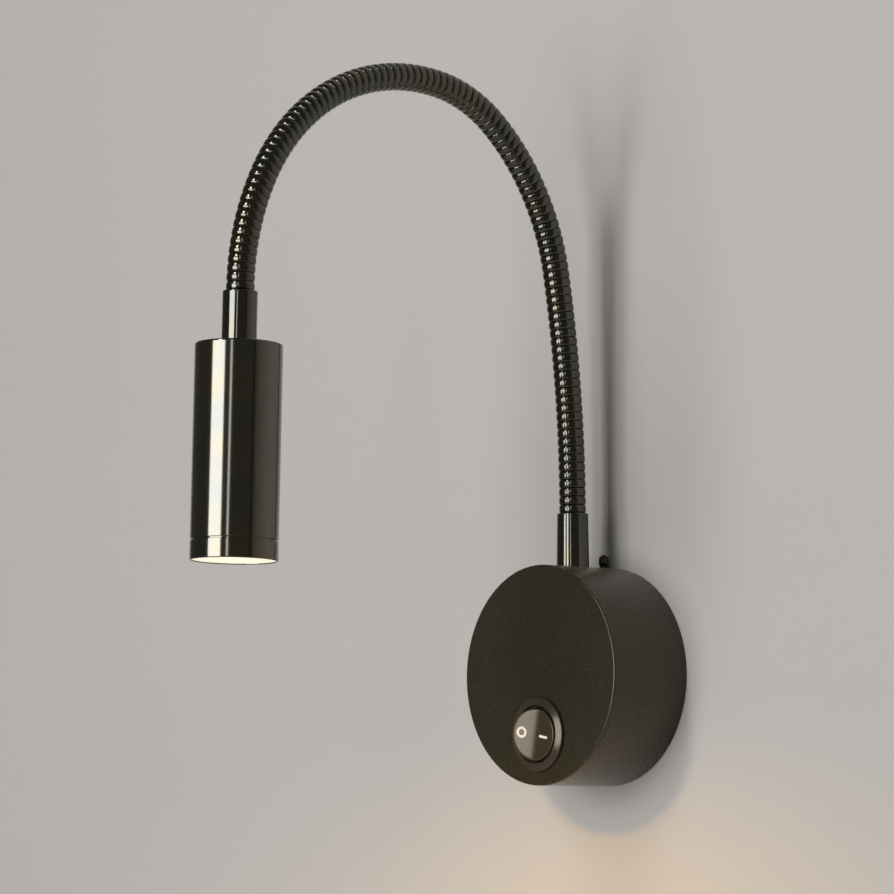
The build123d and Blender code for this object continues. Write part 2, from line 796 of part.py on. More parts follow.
with BuildPart() as earth_lug:
    with BuildSketch(under(washer_z)):
        Circle(washer_radius)
        with Locations((0, -lug_reach / 2)):
            Rectangle(lug_width, lug_reach)
        Circle(tail_radius + fit, mode=Mode.SUBTRACT)
    extrude(amount=lug_thickness)
finish(earth_lug.part, "earth_lug")

hexagon_nut("neck_nut", under(lug_z))

# ---- Ribbed hose ----


def hose_span(name, first, ribs, foot=0.0, tip=0.0):
    """Stretch of ribbed hose; foot and tip are the lengths of the plain ends crimped into the ferrules."""
    start, end = first * rib_pitch, (first + ribs) * rib_pitch
    rings = [(start - foot, hose_end_radius)] if foot else []
    for i in range(ribs):
        rings.append((start + i * rib_pitch, hose_crest_radius - hose_groove_depth))
        rings.append((start + (i + 0.5) * rib_pitch, hose_crest_radius))
    rings.append((end, hose_crest_radius - hose_groove_depth))
    if tip:
        rings.append((end + tip, hose_end_radius))
    steps = int((end + tip - start + foot) / bore_step) + 1
    with BuildPart() as span:
        for s, radius in rings:
            with BuildSketch(neck_plane(s)):
                RegularPolygon(radius, hose_sides)
        loft(ruled=True)
        for i in range(steps + 1):
            with BuildSketch(neck_plane(start - foot + i * (end + tip - start + foot) / steps)):
                RegularPolygon(hose_bore_radius, bore_sides, major_radius=False)
        loft(ruled=True, mode=Mode.SUBTRACT)
    finish(span.part, name)


first_rib = 0
for number, ribs in enumerate(rigid_ribs, 1):
    last = number == len(rigid_ribs)
    plain = hose_socket_depth - gap
    hose_span(f"hose_link_{number}", first_rib, ribs, plain if number == 1 else 0.0, plain if last else 0.0)
    first_rib += ribs
    if not last:
        hose_span(f"hose_flex_{number}", first_rib, flex_ribs)
        first_rib += flex_ribs

# ---- Head: heights run along its axis from its ferrule's mouth to the lens ----

head_top = neck_plane(neck_length)
head_section = Plane(origin=head_top.origin, x_dir=(1, 0, 0), z_dir=-head_top.y_dir)
head_axis = Axis(head_top.origin, head_top.z_dir)
head_start = head_ferrule_length
head_end = head_start + head_length


def at_head(height):
    """Across the head's axis at this height; drawn on from above, extruded towards the lens."""
    return head_top.offset(height)


with BuildPart() as head_ferrule:
    outline = [
        (0, 0),
        (ferrule_radius - ferrule_chamfer, 0),
        (ferrule_radius, ferrule_chamfer),
        (ferrule_radius, head_start),
        (tail_radius, head_start),
        (tail_radius, head_start + tail_length),
        (0, head_start + tail_length),
    ]
    with BuildSketch(head_section):
        with BuildLine():
            Polyline(*outline, close=True)
        make_face()
    revolve(axis=head_axis)
    with BuildSketch(at_head(0)):
        Circle(hose_end_radius + fit)
    extrude(amount=hose_socket_depth, mode=Mode.SUBTRACT)
    with BuildSketch(at_head(0)):
        Circle(lead_hole_radius)
    extrude(amount=head_start + tail_length, mode=Mode.SUBTRACT)
finish(head_ferrule.part, "head_ferrule")

head_inner_radius = head_radius - head_wall
body_end = head_end - ring_length - groove_width
with BuildPart() as head_body:
    outline = [
        (tail_radius + fit, head_start),
        (head_radius - head_chamfer, head_start),
        (head_radius, head_start + head_chamfer),
        (head_radius, body_end),
        (head_inner_radius, body_end),
        (head_inner_radius, head_start + head_top_thickness),
        (tail_radius + fit, head_start + head_top_thickness),
    ]
    with BuildSketch(head_section):
        with BuildLine():
            Polyline(*outline, close=True)
        make_face()
    revolve(axis=head_axis)
finish(head_body.part, "head_body")

inner_top = head_start + head_top_thickness
toothed_washer("head_washer", at_head(inner_top))

hexagon_nut("head_nut", at_head(inner_top + washer_thickness))

lens_radius = head_radius - rim_width
lens_top = head_end - lens_recess - lens_thickness
ledge = lens_top - gasket_thickness
spigot_radius = head_inner_radius - fit
with BuildPart() as head_bezel:
    outline = [
        (spigot_radius - spigot_wall, body_end - spigot_length),
        (spigot_radius, body_end - spigot_length),
        (spigot_radius, body_end),
        (head_radius - groove_depth, body_end),
        (head_radius - groove_depth, body_end + groove_width),
        (head_radius, body_end + groove_width),
        (head_radius, head_end - ring_chamfer),
        (head_radius - ring_chamfer, head_end),
        (lens_radius, head_end),
        (lens_radius, ledge),
        (spigot_radius - spigot_wall, ledge),
    ]
    with BuildSketch(head_section):
        with BuildLine():
            Polyline(*outline, close=True)
        make_face()
    revolve(axis=head_axis)
finish(head_bezel.part, "head_bezel")

with BuildPart() as lens_gasket:
    with BuildSketch(at_head(ledge)):
        Circle(lens_radius - fit)
        Circle(lens_radius - fit - gasket_width, mode=Mode.SUBTRACT)
    extrude(amount=gasket_thickness)
finish(lens_gasket.part, "lens_gasket")

with BuildPart() as lens:
    with BuildSketch(at_head(lens_top)):
        Circle(lens_radius - fit)
    extrude(amount=lens_thickness)
finish(lens.part, "lens")

sink_face = head_end - sink_height
board_face = sink_face + led_board_thickness
mouth_height = board_face + reflector_height
mouth_radius = spigot_radius - spigot_wall - 2 * fit
screw_spots = [(board_screw_offset, 0), (-board_screw_offset, 0)]
lead_spot = (0, led_lead_shift)

with BuildPart() as reflector:
    for wall, mode in ((0, Mode.ADD), (reflector_wall, Mode.SUBTRACT)):
        with BuildSketch(at_head(board_face)):
            Circle(reflector_throat + reflector_wall - wall)
        with BuildSketch(at_head(mouth_height)):
            Circle(mouth_radius - wall)
        loft(ruled=True, mode=mode)
finish(reflector.part, "reflector")

with BuildPart() as led_chip:
    with BuildSketch(at_head(board_face)):
        Circle(led_radius)
    extrude(amount=led_height)
finish(led_chip.part, "led_chip")

with BuildPart() as led_board:
    with BuildSketch(at_head(sink_face)):
        Circle(led_board_radius)
        with Locations(*screw_spots):
            Circle(board_screw_radius + fit, mode=Mode.SUBTRACT)
        with Locations(lead_spot):
            Circle(led_lead_radius + gap / 2, mode=Mode.SUBTRACT)
    extrude(amount=led_board_thickness)
finish(led_board.part, "led_board")

with BuildPart() as heat_sink:
    with BuildSketch(at_head(sink_face)):
        Circle(head_inner_radius - fit)
        with Locations(*screw_spots):
            Circle(board_screw_radius + fit, mode=Mode.SUBTRACT)
        with Locations(lead_spot):
            Circle(led_lead_radius + gap, mode=Mode.SUBTRACT)
    extrude(amount=-sink_thickness)
    for i in range(sink_fins):
        fin_x = (i - (sink_fins - 1) / 2) * sink_fin_pitch
        fin_length = 2 * sqrt((head_inner_radius - sink_fin_margin) ** 2 - (abs(fin_x) + sink_fin_thickness / 2) ** 2)
        with BuildSketch(at_head(sink_face - sink_thickness)):
            with Locations((fin_x, 0)):
                Rectangle(sink_fin_thickness, fin_length)
        extrude(amount=-sink_fin_height)
finish(heat_sink.part, "heat_sink")

with BuildPart() as board_screws:
    with BuildSketch(at_head(board_face)):
        with Locations(*screw_spots):
            Circle(board_screw_head_radius)
    extrude(amount=board_screw_head_height)
    with BuildSketch(at_head(board_face)):
        with Locations(*screw_spots):
            Circle(board_screw_radius)
    extrude(amount=-(led_board_thickness + board_screw_length))
finish(board_screws.part, "board_screws")

# ---- LED lead: from the driver through the neck to the LED's board ----

driver_run = [
    (0, board_back_y, driver_led_z),
    (0, neck_y, driver_led_z),
    (0, neck_y, driver_z + driver_height),
]
lead_run = cut_corners(driver_run, led_lead_bend)[:-1]
steps = int(neck_length / led_lead_step) + 1
for i in range(steps + 1):
    lead_run.append(neck_plane(i * neck_length / steps).origin)
shift = head_top.y_dir * led_lead_shift
head_points = [
    at_head(head_start + tail_length).origin,
    at_head(head_start + 2 * tail_length).origin,
    at_head(head_start + 3 * tail_length).origin + shift,
    at_head(board_face).origin + shift,
]
lead_run += cut_corners([tuple(point) for point in head_points], led_lead_bend)[1:]
lead("led_lead", lead_run, led_lead_radius)
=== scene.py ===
"""Bedside wall reading lamp, dressed over its packed construction model.

The lamp is a round wall base with a rocker switch, a ribbed neck that arches out into the room and a
slim turned head with a lit lens. The scene is in metres and in the construction model's own frame: the
wall is the plane y = 0, the room is at -y and +z is up. Each shape is a grid of points worked out as
whole arrays in millimetres, and grid_mesh turns them into metres.
"""

import bpy
import numpy as np
from bpy.props import FloatProperty, FloatVectorProperty, IntProperty, PointerProperty
from mathutils import Matrix, Vector


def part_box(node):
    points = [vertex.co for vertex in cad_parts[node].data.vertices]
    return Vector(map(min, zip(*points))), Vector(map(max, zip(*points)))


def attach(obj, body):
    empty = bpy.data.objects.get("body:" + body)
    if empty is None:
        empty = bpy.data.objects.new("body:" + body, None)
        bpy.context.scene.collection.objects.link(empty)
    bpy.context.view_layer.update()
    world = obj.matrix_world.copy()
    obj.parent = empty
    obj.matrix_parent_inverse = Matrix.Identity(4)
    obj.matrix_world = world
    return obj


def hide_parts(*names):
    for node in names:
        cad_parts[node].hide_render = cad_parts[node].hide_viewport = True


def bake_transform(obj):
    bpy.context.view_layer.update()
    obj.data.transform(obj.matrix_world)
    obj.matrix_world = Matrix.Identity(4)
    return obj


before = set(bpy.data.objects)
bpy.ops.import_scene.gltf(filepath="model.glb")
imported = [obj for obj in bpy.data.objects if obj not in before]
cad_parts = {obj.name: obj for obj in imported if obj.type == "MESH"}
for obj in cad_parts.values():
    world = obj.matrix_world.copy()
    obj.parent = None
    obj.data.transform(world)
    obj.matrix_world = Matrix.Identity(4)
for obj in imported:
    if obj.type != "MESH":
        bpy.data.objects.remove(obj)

bl_info = {
    "name": "Bedside wall reading lamp",
    "version": (1, 0, 0),
    "blender": (4, 5, 0),
    "location": "3D View > Sidebar > Reading lamp",
    "description": "Round base with a rocker switch, ribbed neck and slim lit head, with its studio",
    "category": "Add Mesh",
}

MM = 0.001

# The neck's centre line: a straight run at each end and five arcs between them, each a radius and a turn in degrees
NECK_STRAIGHT = 1.5
NECK_ARCS = ((500.0, 10.0), (86.0, 40.5), (53.0, 30.5), (77.0, 72.5), (95.0, 25.0))
NECK_TUCK = 9.6  # how far the neck runs on inside each ferrule

# The bodies along the neck, and its ribs: rigid ones and then bending ones from each body to the next
NECK_BODIES = ("base", "neck_2", "neck_3", "neck_4", "neck_5", "head")
BENDS = len(NECK_BODIES) - 1
RIBS = 103
RIBS_RIGID, RIBS_BENDING = 13, 5
RIBS_SPREAD = 4  # ribs more than the construction's by which a bend was to run on at each end, for a rounder line; bends() works out these ends but does not use them
RIBS_TO_CUT = 6  # the hose is cut this many ribs past each bend

# Both ferrules: the radii of the mouth round the neck, of the bore and of the threaded stud, the depth of the mouth
# and how far the stud reaches in
MOUTH, BORE, STUD = 4.7, 2.6, 4.95
MOUTH_DEPTH, STUD_REACH = 9.9, 9.5

# The lead to the LED, in the plane x = 0: its radius, its start at the driver as (y, z), and its last three points
# as distances down the head and off its axis
LEAD_RADIUS = 1.4
LEAD_START = (-28.4, 4.0)
LEAD_END = ((19.0, 0.0), (28.5, 7.6), (55.2, 7.6))

# Degrees by which the switch is turned in its hole, the rocker is tilted and each flat of its top rises
SWITCH_ROLL, ROCKER_TILT, ROCKER_DISH = 11.0, 9.5, 8.0
CREASE_HEIGHT, CREASE_PLACE, CREASE_SOFTNESS = 4.4, 1.2, 1.4  # the crease between the flats
RING_PLACE, DASH_PLACE = -5.4, 4.2  # middles of the two marks along the rocker
MARK_SUNK, MARK_PROUD = -0.2, 0.09  # lower and upper side of the marks' paint, over the rocker's top

# The photograph's camera: its place in metres, its azimuth, rise and roll in degrees, its focal length in pixels
CAMERA_PLACE = (0.97898, -0.92745, -0.05144)
CAMERA_TURNS = (49.090, 5.799, -0.165)
CAMERA_LENS, PHOTO_WIDTH, SENSOR_WIDTH = 3652.4, 894, 36.0


# ---- Sizes and colours that a user would change ----


def length(name, description, default):
    """A size in metres, given here in millimetres."""
    return FloatProperty(name=name, description=description, default=default * MM, min=0.0, unit="LENGTH", precision=5)


def colour(name, description, default):
    """A linear colour."""
    return FloatVectorProperty(name=name, description=description, default=default, size=3, min=0.0, max=1.0,
                               subtype="COLOR")


class LampBaseSizes(bpy.types.PropertyGroup):
    """Sizes of the base and its switch."""

    radius: length("Radius", "Radius of the round base", 40.0)
    depth: length("Depth", "Depth of the base, out from the wall", 35.5)
    wall: length("Wall", "Thickness of the base's wall", 1.8)
    edge: length("Edge", "Rounding of the front edge", 0.7)
    switch_drop: length("Switch drop", "Middle of the switch below the middle of the base", 21.5)
    switch_hole: length("Switch hole", "Radius of the hole for the switch", 11.6)
    bezel_radius: length("Bezel radius", "Outer radius of the switch's bezel", 13.4)
    bezel_bore: length("Bezel bore", "Radius of the opening round the rocker", 10.5)
    bezel_height: length("Bezel height", "Height of the bezel's inner edge over the face", 2.2)
    bezel_edge: length("Bezel edge", "Height of the bezel's outer edge over the face", 1.1)
    rocker_radius: length("Rocker radius", "Radius of the rocker", 9.4)
    mark_width: length("Mark width", "Stroke of the two marks on the rocker", 0.95)


class LampNeckSizes(bpy.types.PropertyGroup):
    """Sizes of the ribbed neck and its ferrules."""

    setback: length("Setback", "From the base's face to the axis of the neck's foot", 17.2)
    foot: length("Foot ferrule", "Top of the ferrule on the base, over the middle of the base", 59.5)
    ferrule: length("Ferrule radius", "Radius of both ferrules", 6.03)
    ferrule_tip: length("Ferrule tip", "Radius of the base ferrule at its top", 5.72)
    crest: length("Rib crest", "Radius of the neck over its ribs", 4.95)
    groove: length("Groove depth", "Depth of the grooves between the ribs", 0.6)
    bore: length("Bore", "Radius of the neck's bore", 3.4)
    rib_steps: IntProperty(name="Rib steps", description="Rings of points along each rib", default=12, min=4, max=24)


class LampHeadSizes(bpy.types.PropertyGroup):
    """Sizes of the turned head."""

    radius: length("Radius", "Outer radius of the head", 15.1)
    length: length("Length", "Length of the head with its ring", 74.1)
    wall: length("Wall", "Thickness of the tube", 1.8)
    edge: length("Edge", "Rounding of the head's upper edge", 0.7)
    ring: length("Ring", "Height of the ring that holds the lens", 6.6)
    groove: length("Groove", "Gap between the tube and the ring", 0.5)
    rim: length("Rim", "Width of the rim round the lens", 0.7)
    ferrule: length("Ferrule", "Length of the ferrule over the head", 18.3)


class LampColours(bpy.types.PropertyGroup):
    """Colours of the finishes that show, and of the wall."""

    coat: colour("Powder coat", "Satin coat of the base", (0.0190, 0.0168, 0.0110))
    plating: colour("Dark nickel", "Plating of the neck and the head", (0.138, 0.133, 0.115))
    plastic: colour("Switch plastic", "Moulding of the switch", (0.036, 0.031, 0.024))
    marks: colour("Marks", "Paint of the marks on the rocker", (0.82, 0.80, 0.76))
    lens: colour("Lens", "Light of the lens", (0.92, 0.78, 0.58))
    wall: colour("Wall", "Paint of the wall", (0.470, 0.457, 0.450))
    floor: colour("Floor", "The floor below", (0.62, 0.60, 0.57))


def in_mm(sizes, *names):
    """These sizes of a group, in millimetres."""
    return [getattr(sizes, name) / MM for name in names]


# ---- Surfaces as grids of points ----


def circle(count):
    """Angles of points spaced evenly round a circle."""
    return np.arange(count) * 2 * np.pi / count


def placed(origin, across, along):
    """Maps points of a local frame into the lamp's: origin + x across + y (along x across) + z along."""
    axes = np.array([across, np.cross(along, across), along], float)
    return lambda local: np.asarray(origin, float) + local @ axes


def upright(y):
    """The frame of a piece that stands upright, its axis at this y."""
    return placed((0, y, 0), (1, 0, 0), (0, 0, 1))


def filleted(corners, loop=True, steps=6, support=0.35):
    """Outline through corners given as (radius, height, rounding), in millimetres.

    Each rounding is the arc that touches both of a corner's sides, between its two touching points
    v1 and v2 seen from the arc's middle: (v1 sin((1-k)w) + v2 sin(kw)) / sin w. A point a little way
    along each side holds the shading of the flat or straight part.
    """
    points = [np.array(c[:2], float) for c in corners]
    count = len(points)
    outline = []
    for i, (here, corner) in enumerate(zip(points, corners)):
        if not loop and i in (0, count - 1):
            outline.append(here[None])
            continue
        back, on = points[i - 1] - here, points[(i + 1) % count] - here
        back_length, on_length = np.linalg.norm(back), np.linalg.norm(on)
        back, on, rounding = back / back_length, on / on_length, corner[2]
        half = np.arccos(np.clip(back @ on, -1, 1)) / 2
        reach = rounding / np.tan(half)
        before = here + back * min(reach + support, back_length / 2)
        after = here + on * min(reach + support, on_length / 2)
        if rounding:
            middle = here + (back + on) / np.linalg.norm(back + on) * rounding / np.sin(half)
            v1, v2 = here + back * reach - middle, here + on * reach - middle
            turn = np.pi - 2 * half
            k = np.linspace(0, 1, steps)[:, None]
            arc = middle + (v1 * np.sin((1 - k) * turn) + v2 * np.sin(k * turn)) / np.sin(turn)
        else:
            arc = here[None]
        outline += [before[None], arc, after[None]]
    return np.concatenate(outline)


def grid_mesh(name, rings, loop=True, shut=True, sharp=35.0):
    """Mesh object of a grid rings[i, j] in millimetres, closed around j.

    Along i it is closed when loop is true; otherwise, when shut is true, its two end rings have
    shrunk to points and become poles. A ring that lies on the one before it is left out. Faces turn
    outwards: when the sum of a . (b x c) over the triangles, six times the volume, comes out
    negative, every face is turned round.
    """
    rings = rings[np.abs(rings - np.roll(rings, 1, axis=0)).max(axis=(1, 2)) > 1e-6]
    poles = shut and not loop
    body = rings[1:-1] if poles else rings
    m, n = body.shape[:2]
    i, j = np.meshgrid(np.arange(m if loop else m - 1), np.arange(n), indexing="ij")
    across, up = (j + 1) % n, (i + 1) % m
    quads = np.stack([i * n + j, i * n + across, up * n + across, up * n + j], -1).reshape(-1, 4)
    points, fans = body.reshape(-1, 3), np.empty((0, 3), int)
    if poles:
        points = np.concatenate([rings[0, :1], points, rings[-1, :1]])
        quads += 1
        j, last = np.arange(n), 1 + (m - 1) * n
        fans = np.concatenate([
            np.stack([np.zeros(n, int), 1 + (j + 1) % n, 1 + j], -1),
            np.stack([np.full(n, len(points) - 1), last + j, last + (j + 1) % n], -1),
        ])
    if shut:
        centred = points - points.mean(0)
        triangles = np.concatenate([quads[:, :3], quads[:, [0, 2, 3]], fans])
        a, b, c = (centred[triangles[:, k]] for k in range(3))
        if np.einsum("ij,ij->", a, np.cross(b, c)) < 0:
            quads, fans = quads[:, ::-1], fans[:, ::-1]
    mesh = bpy.data.meshes.new(name)
    mesh.from_pydata((points * MM).tolist(), [], quads.tolist() + fans.tolist())
    mesh.polygons.foreach_set("use_smooth", np.ones(len(mesh.polygons), bool))
    mesh.update()
    mesh.set_sharp_from_angle(angle=np.radians(sharp))
    piece = bpy.data.objects.new(name, mesh)
    bpy.context.scene.collection.objects.link(piece)
    return piece


def turned_rings(outline, place, around):
    """Surface of revolution: an outline's radius r and height h give (r cos t, r sin t, h)."""
    t = circle(around)
    r, h = outline[:, 0, None], outline[:, 1, None]
    return place(np.stack([r * np.cos(t), r * np.sin(t), h + 0 * t], -1))


def turned(name, corners, place, around=128, loop=True, steps=6, sharp=35.0):
    """A turned piece: its filleted outline carried round the place's third axis."""
    return grid_mesh(name, turned_rings(filleted(corners, loop, steps), place, around), loop, sharp=sharp)


def rounded_block(name, half_across, half_along, low, high, edge, place, shape=lambda a: 0.0):
    """Block with rounded edges, lying along shape(x).

    Its ring is the superellipse x = a |cos t|^(1/3), y = b |sin t|^(1/3), drawn in by edge (1 - sin f)
    while its height rises by edge (1 - cos f), and both ends shrink to a point.
    """
    t = circle(48) + np.pi / 48
    x = np.sign(np.cos(t)) * np.abs(np.cos(t)) ** (1 / 3)
    y = np.sign(np.sin(t)) * np.abs(np.sin(t)) ** (1 / 3)
    f = np.linspace(0, np.pi / 2, 4)
    inset = np.concatenate([edge * (1 - np.sin(f)), edge * (1 - np.sin(f[::-1]))])[:, None]
    height = np.concatenate([low + edge * (1 - np.cos(f)), high - edge * (1 - np.cos(f[::-1]))])[:, None]
    rings = np.stack([(half_across - inset) * x, (half_along - inset) * y, height + 0 * x], -1)
    rings = np.concatenate([rings[:1] * (0, 0, 1), rings, rings[-1:] * (0, 0, 1)])
    rings[..., 2] += shape(rings[..., 0])
    return grid_mesh(name, place(rings), loop=False)


def piece_done(piece, body, slot, material, *nodes):
    """Gives a finished piece its material and its body, and hides the nodes it stands for; slot is not used."""
    piece.data.materials.append(material)
    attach(piece, body)
    if nodes:
        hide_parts(*nodes)
    return piece


# ---- The neck's line ----


def neck_line(s):
    """Point, direction and outward normal of the neck at length s from the foot ferrule's mouth.

    Each run adds its chord, R (cos(h + d/R) - cos h, sin(h + d/R) - sin h) for the part d of it that
    lies before s, h being the heading so far; before the first run and after the last it is straight.
    """
    sizes, base = bpy.context.scene.lamp_neck, bpy.context.scene.lamp_base
    s = np.asarray(s, float)
    y = (sizes.setback - base.depth) / MM + 0 * s
    z = sizes.foot / MM + np.minimum(s, 0)
    heading, at = 0 * s, 0.0
    for radius, turn in ((None, NECK_STRAIGHT), *NECK_ARCS):
        run = turn if radius is None else radius * np.radians(turn)
        step = np.clip(s - at, 0, run)
        if radius is None:
            z = z + step
        else:
            after = heading + step / radius
            y = y + radius * (np.cos(after) - np.cos(heading))
            z = z + radius * (np.sin(after) - np.sin(heading))
            heading = after
        at += run
    left = np.maximum(s - at, 0)
    y, z = y - left * np.sin(heading), z + left * np.cos(heading)
    zero = 0 * s
    point = np.stack([zero, y, z], -1)
    direction = np.stack([zero, -np.sin(heading), np.cos(heading)], -1)
    outward = np.stack([zero, np.cos(heading), np.sin(heading)], -1)
    return point, direction, outward


def neck_length():
    """The neck's length between its two ferrules."""
    return 2 * NECK_STRAIGHT + sum(radius * np.radians(turn) for radius, turn in NECK_ARCS)


def swept_rings(s, radius, around):
    """Tube along the neck's line: point(s) + radius (x cos t + outward sin t)."""
    point, _, outward = neck_line(s)
    t = circle(around)
    across = np.array([1.0, 0, 0])
    ring = across * np.cos(t)[:, None] + outward[:, None] * np.sin(t)[:, None]
    return point[:, None] + np.asarray(radius)[:, None, None] * ring


def rib_radius(s, pitch, crest, groove, fullness=2.2):
    """Radius over the ribs.

    Each is the bulge (1 - |2x - 1|^f)^(1/f) between two grooves, x being the share of the pitch and f
    the fullness, and the plain ends lie at the grooves' depth.
    """
    x = np.where((s < 0) | (s > RIBS * pitch), 0.0, (s / pitch) % 1.0)
    return crest - groove + groove * (1 - np.abs(2 * x - 1) ** fullness) ** (1 / fullness)


def head_place():
    """The head's frame: its heights run along its axis from the mouth of its ferrule."""
    point, direction, _ = neck_line(neck_length())
    return placed(point, (1, 0, 0), direction)


def head_end():
    """Where the head ends, as a length along the neck's line."""
    sizes = bpy.context.scene.lamp_head
    return neck_length() + (sizes.ferrule + sizes.length) / MM


# ---- Shader maths ----


class Wire:
    """A value or colour on its way through a material; an expression on wires adds its Math nodes."""

    def __init__(self, finish, socket):
        self.finish, self.socket = finish, socket

    def maths(self, operation, first, second):
        return self.finish.node("ShaderNodeMath", {"operation": operation}, {0: first, 1: second})

    def __add__(self, other):
        return self.maths("ADD", self, other)

    __radd__ = __add__

    def __sub__(self, other):
        return self.maths("SUBTRACT", self, other)

    def __rsub__(self, other):
        return self.maths("SUBTRACT", other, self)

    def __mul__(self, other):
        return self.maths("MULTIPLY", self, other)

    __rmul__ = __mul__

    def __rtruediv__(self, other):
        return self.maths("DIVIDE", other, self)

    def __pow__(self, other):
        return self.maths("POWER", self, other)


class Finish:
    """A material under construction, with one shader whose own sockets hold what is the same all over."""

    def __init__(self, name, **constants):
        self.material = bpy.data.materials.new(name)
        self.material.use_nodes = True
        self.tree = self.material.node_tree
        self.tree.nodes.clear()
        self.output = self.tree.nodes.new("ShaderNodeOutputMaterial")
        self.shader = self.tree.nodes.new("ShaderNodeBsdfPrincipled")
        self.tree.links.new(self.shader.outputs["BSDF"], self.output.inputs["Surface"])
        for socket, value in constants.items():
            self.shader.inputs[socket.replace("_", " ")].default_value = value

    def node(self, kind, settings, values, out=0):
        """A node of this type with its settings, then the values or wires of its sockets; returns one output."""
        made = self.tree.nodes.new(kind)
        for name, value in settings.items():
            setattr(made, name, value)
        for socket, value in values.items():
            self.feed(made.inputs[socket], value)
        return Wire(self, made.outputs[out])

    def feed(self, socket, value):
        """Links a wire to a socket or sets its value."""
        if isinstance(value, Wire):
            self.tree.links.new(value.socket, socket)
        else:
            socket.default_value = value

    def set(self, **values):
        """Feeds sockets of the shader."""
        for socket, value in values.items():
            self.feed(self.shader.inputs[socket.replace("_", " ")], value)
        return self.material

    def place(self, stretch=(1, 1, 1)):
        """Object coordinates, stretched."""
        spot = self.node("ShaderNodeTexCoord", {}, {}, "Object")
        return self.node("ShaderNodeMapping", {}, {"Vector": spot, "Scale": stretch})

    def grain(self, scale, detail=2.0, rough=0.5, stretch=(1, 1, 1)):
        """Noise from 0 to 1 with this many cells to the metre."""
        return self.node("ShaderNodeTexNoise", {}, {"Vector": self.place(stretch), "Scale": scale, "Detail": detail,
                                                    "Roughness": rough}, "Fac")

    def step(self, value, low, high):
        """0 below low, 1 above high and smooth between."""
        return self.node("ShaderNodeMapRange", {"interpolation_type": "SMOOTHSTEP"},
                         {"Value": value, "From Min": low, "From Max": high})

    def mix(self, share, first, second):
        """Colour between two colours."""
        def rgba(c):
            return c if isinstance(c, Wire) else (*c, 1.0)
        return self.node("ShaderNodeMix", {"data_type": "RGBA"}, {0: share, 6: rgba(first), 7: rgba(second)}, 2)

    def bump(self, height, depth, strength=1.0):
        """Normal from a height from 0 to 1, depth in millimetres."""
        return self.node("ShaderNodeBump", {}, {"Height": height, "Distance": depth * MM, "Strength": strength})


def shade(base, factor):
    """A colour made lighter or darker, in numbers."""
    return tuple(min(c * factor, 1.0) for c in base)


def powder_coat():
    """Satin powder coat: fine orange peel, light grains, dark pits, and faint clouds in its colour and gloss."""
    base = bpy.context.scene.lamp_colours.coat
    f = Finish("powder_coat", IOR=1.58, Specular_Tint=(1.0, 0.90, 0.72, 1.0), Sheen_Weight=0.12, Sheen_Roughness=0.35,
               Sheen_Tint=(1.0, 0.86, 0.62, 1.0))
    cloud = f.grain(45.0, 3.0)
    grains = f.step(f.grain(2600.0, 2.0), 0.60, 0.72)
    pits = f.step(f.grain(1700.0, 1.0), 0.66, 0.74)
    tone = f.mix(cloud, shade(base, 0.80), shade(base, 1.22))
    tone = f.mix(grains * 0.8, tone, shade(base, 3.0))
    tone = f.mix(pits * 0.6, tone, shade(base, 0.45))
    peel = f.grain(1400.0, 3.0)
    rough = 0.24 + 0.08 * cloud + 0.10 * (peel - 0.5)
    return f.set(Base_Color=tone, Roughness=rough, Normal=f.bump(peel + 0.4 * grains, 0.035))


def dark_nickel(name, rough, tone=1.0):
    """Dark nickel plating: warm and cool clouds, faint wipe marks and fine drawing lines along z."""
    base = shade(bpy.context.scene.lamp_colours.plating, tone)
    f = Finish(name, Metallic=1.0)
    cloud = f.grain(60.0, 3.0)
    wiped = f.grain(240.0, 4.0, 0.6, (1, 1, 0.12))
    warm = (base[0] * 1.10, base[1] * 1.02, base[2] * 0.92)
    cool = (base[0] * 0.92, base[1] * 0.97, base[2] * 1.06)
    fine = f.grain(5200.0, 2.0, 0.5, (1, 1, 0.04))
    roughness = rough * 0.8 + (rough * 0.4) * wiped + 0.02 * cloud
    return f.set(Base_Color=f.mix(f.step(cloud, 0.35, 0.65), warm, cool), Roughness=roughness,
                 Normal=f.bump(fine, 0.0006))


def moulded(name, base, rough, texture=900.0, depth=0.01, sheen=(1.0, 1.0, 1.0)):
    """Moulded plastic: fine spark-eroded texture and a trace of flow marks; sheen is the colour of its gloss."""
    f = Finish(name, IOR=1.51, Specular_Tint=(*sheen, 1.0))
    cloud, skin = f.grain(70.0, 3.0), f.grain(texture, 3.0)
    tone = f.mix(cloud, shade(base, 0.88), shade(base, 1.12))
    return f.set(Base_Color=tone, Roughness=rough - 0.04 + 0.10 * skin, Normal=f.bump(skin, depth))


def plated(name, base, rough, blotch=0.2):
    """Bright plated or bare metal: faint blotches and drawing lines."""
    f = Finish(name, Metallic=1.0)
    cloud = f.grain(180.0, 3.0)
    lines = f.grain(1400.0, 2.0, 0.5, (1, 1, 0.08))
    tone = f.mix(cloud, shade(base, 1 - blotch), shade(base, 1 + blotch / 2))
    return f.set(Base_Color=tone, Roughness=rough - 0.05 + 0.18 * lines, Normal=f.bump(lines, 0.003))


def soft(name, base, rough=0.62, second=None):
    """Wire insulation, rubber or foam: matt, with dust and, where there is a second colour, a stripe along the wire."""
    f = Finish(name, IOR=1.45)
    dust = f.grain(900.0, 3.0)
    tone = f.mix(dust, shade(base, 0.85), shade(base, 1.15))
    if second:
        band = f.node("ShaderNodeTexWave", {"wave_type": "BANDS", "bands_direction": "DIAGONAL"},
                      {"Vector": f.place(), "Scale": 150.0, "Distortion": 1.5}, "Fac")
        tone = f.mix(f.step(band, 0.62, 0.70), tone, second)
    return f.set(Base_Color=tone, Roughness=rough - 0.05 + 0.1 * dust, Normal=f.bump(dust, 0.02))


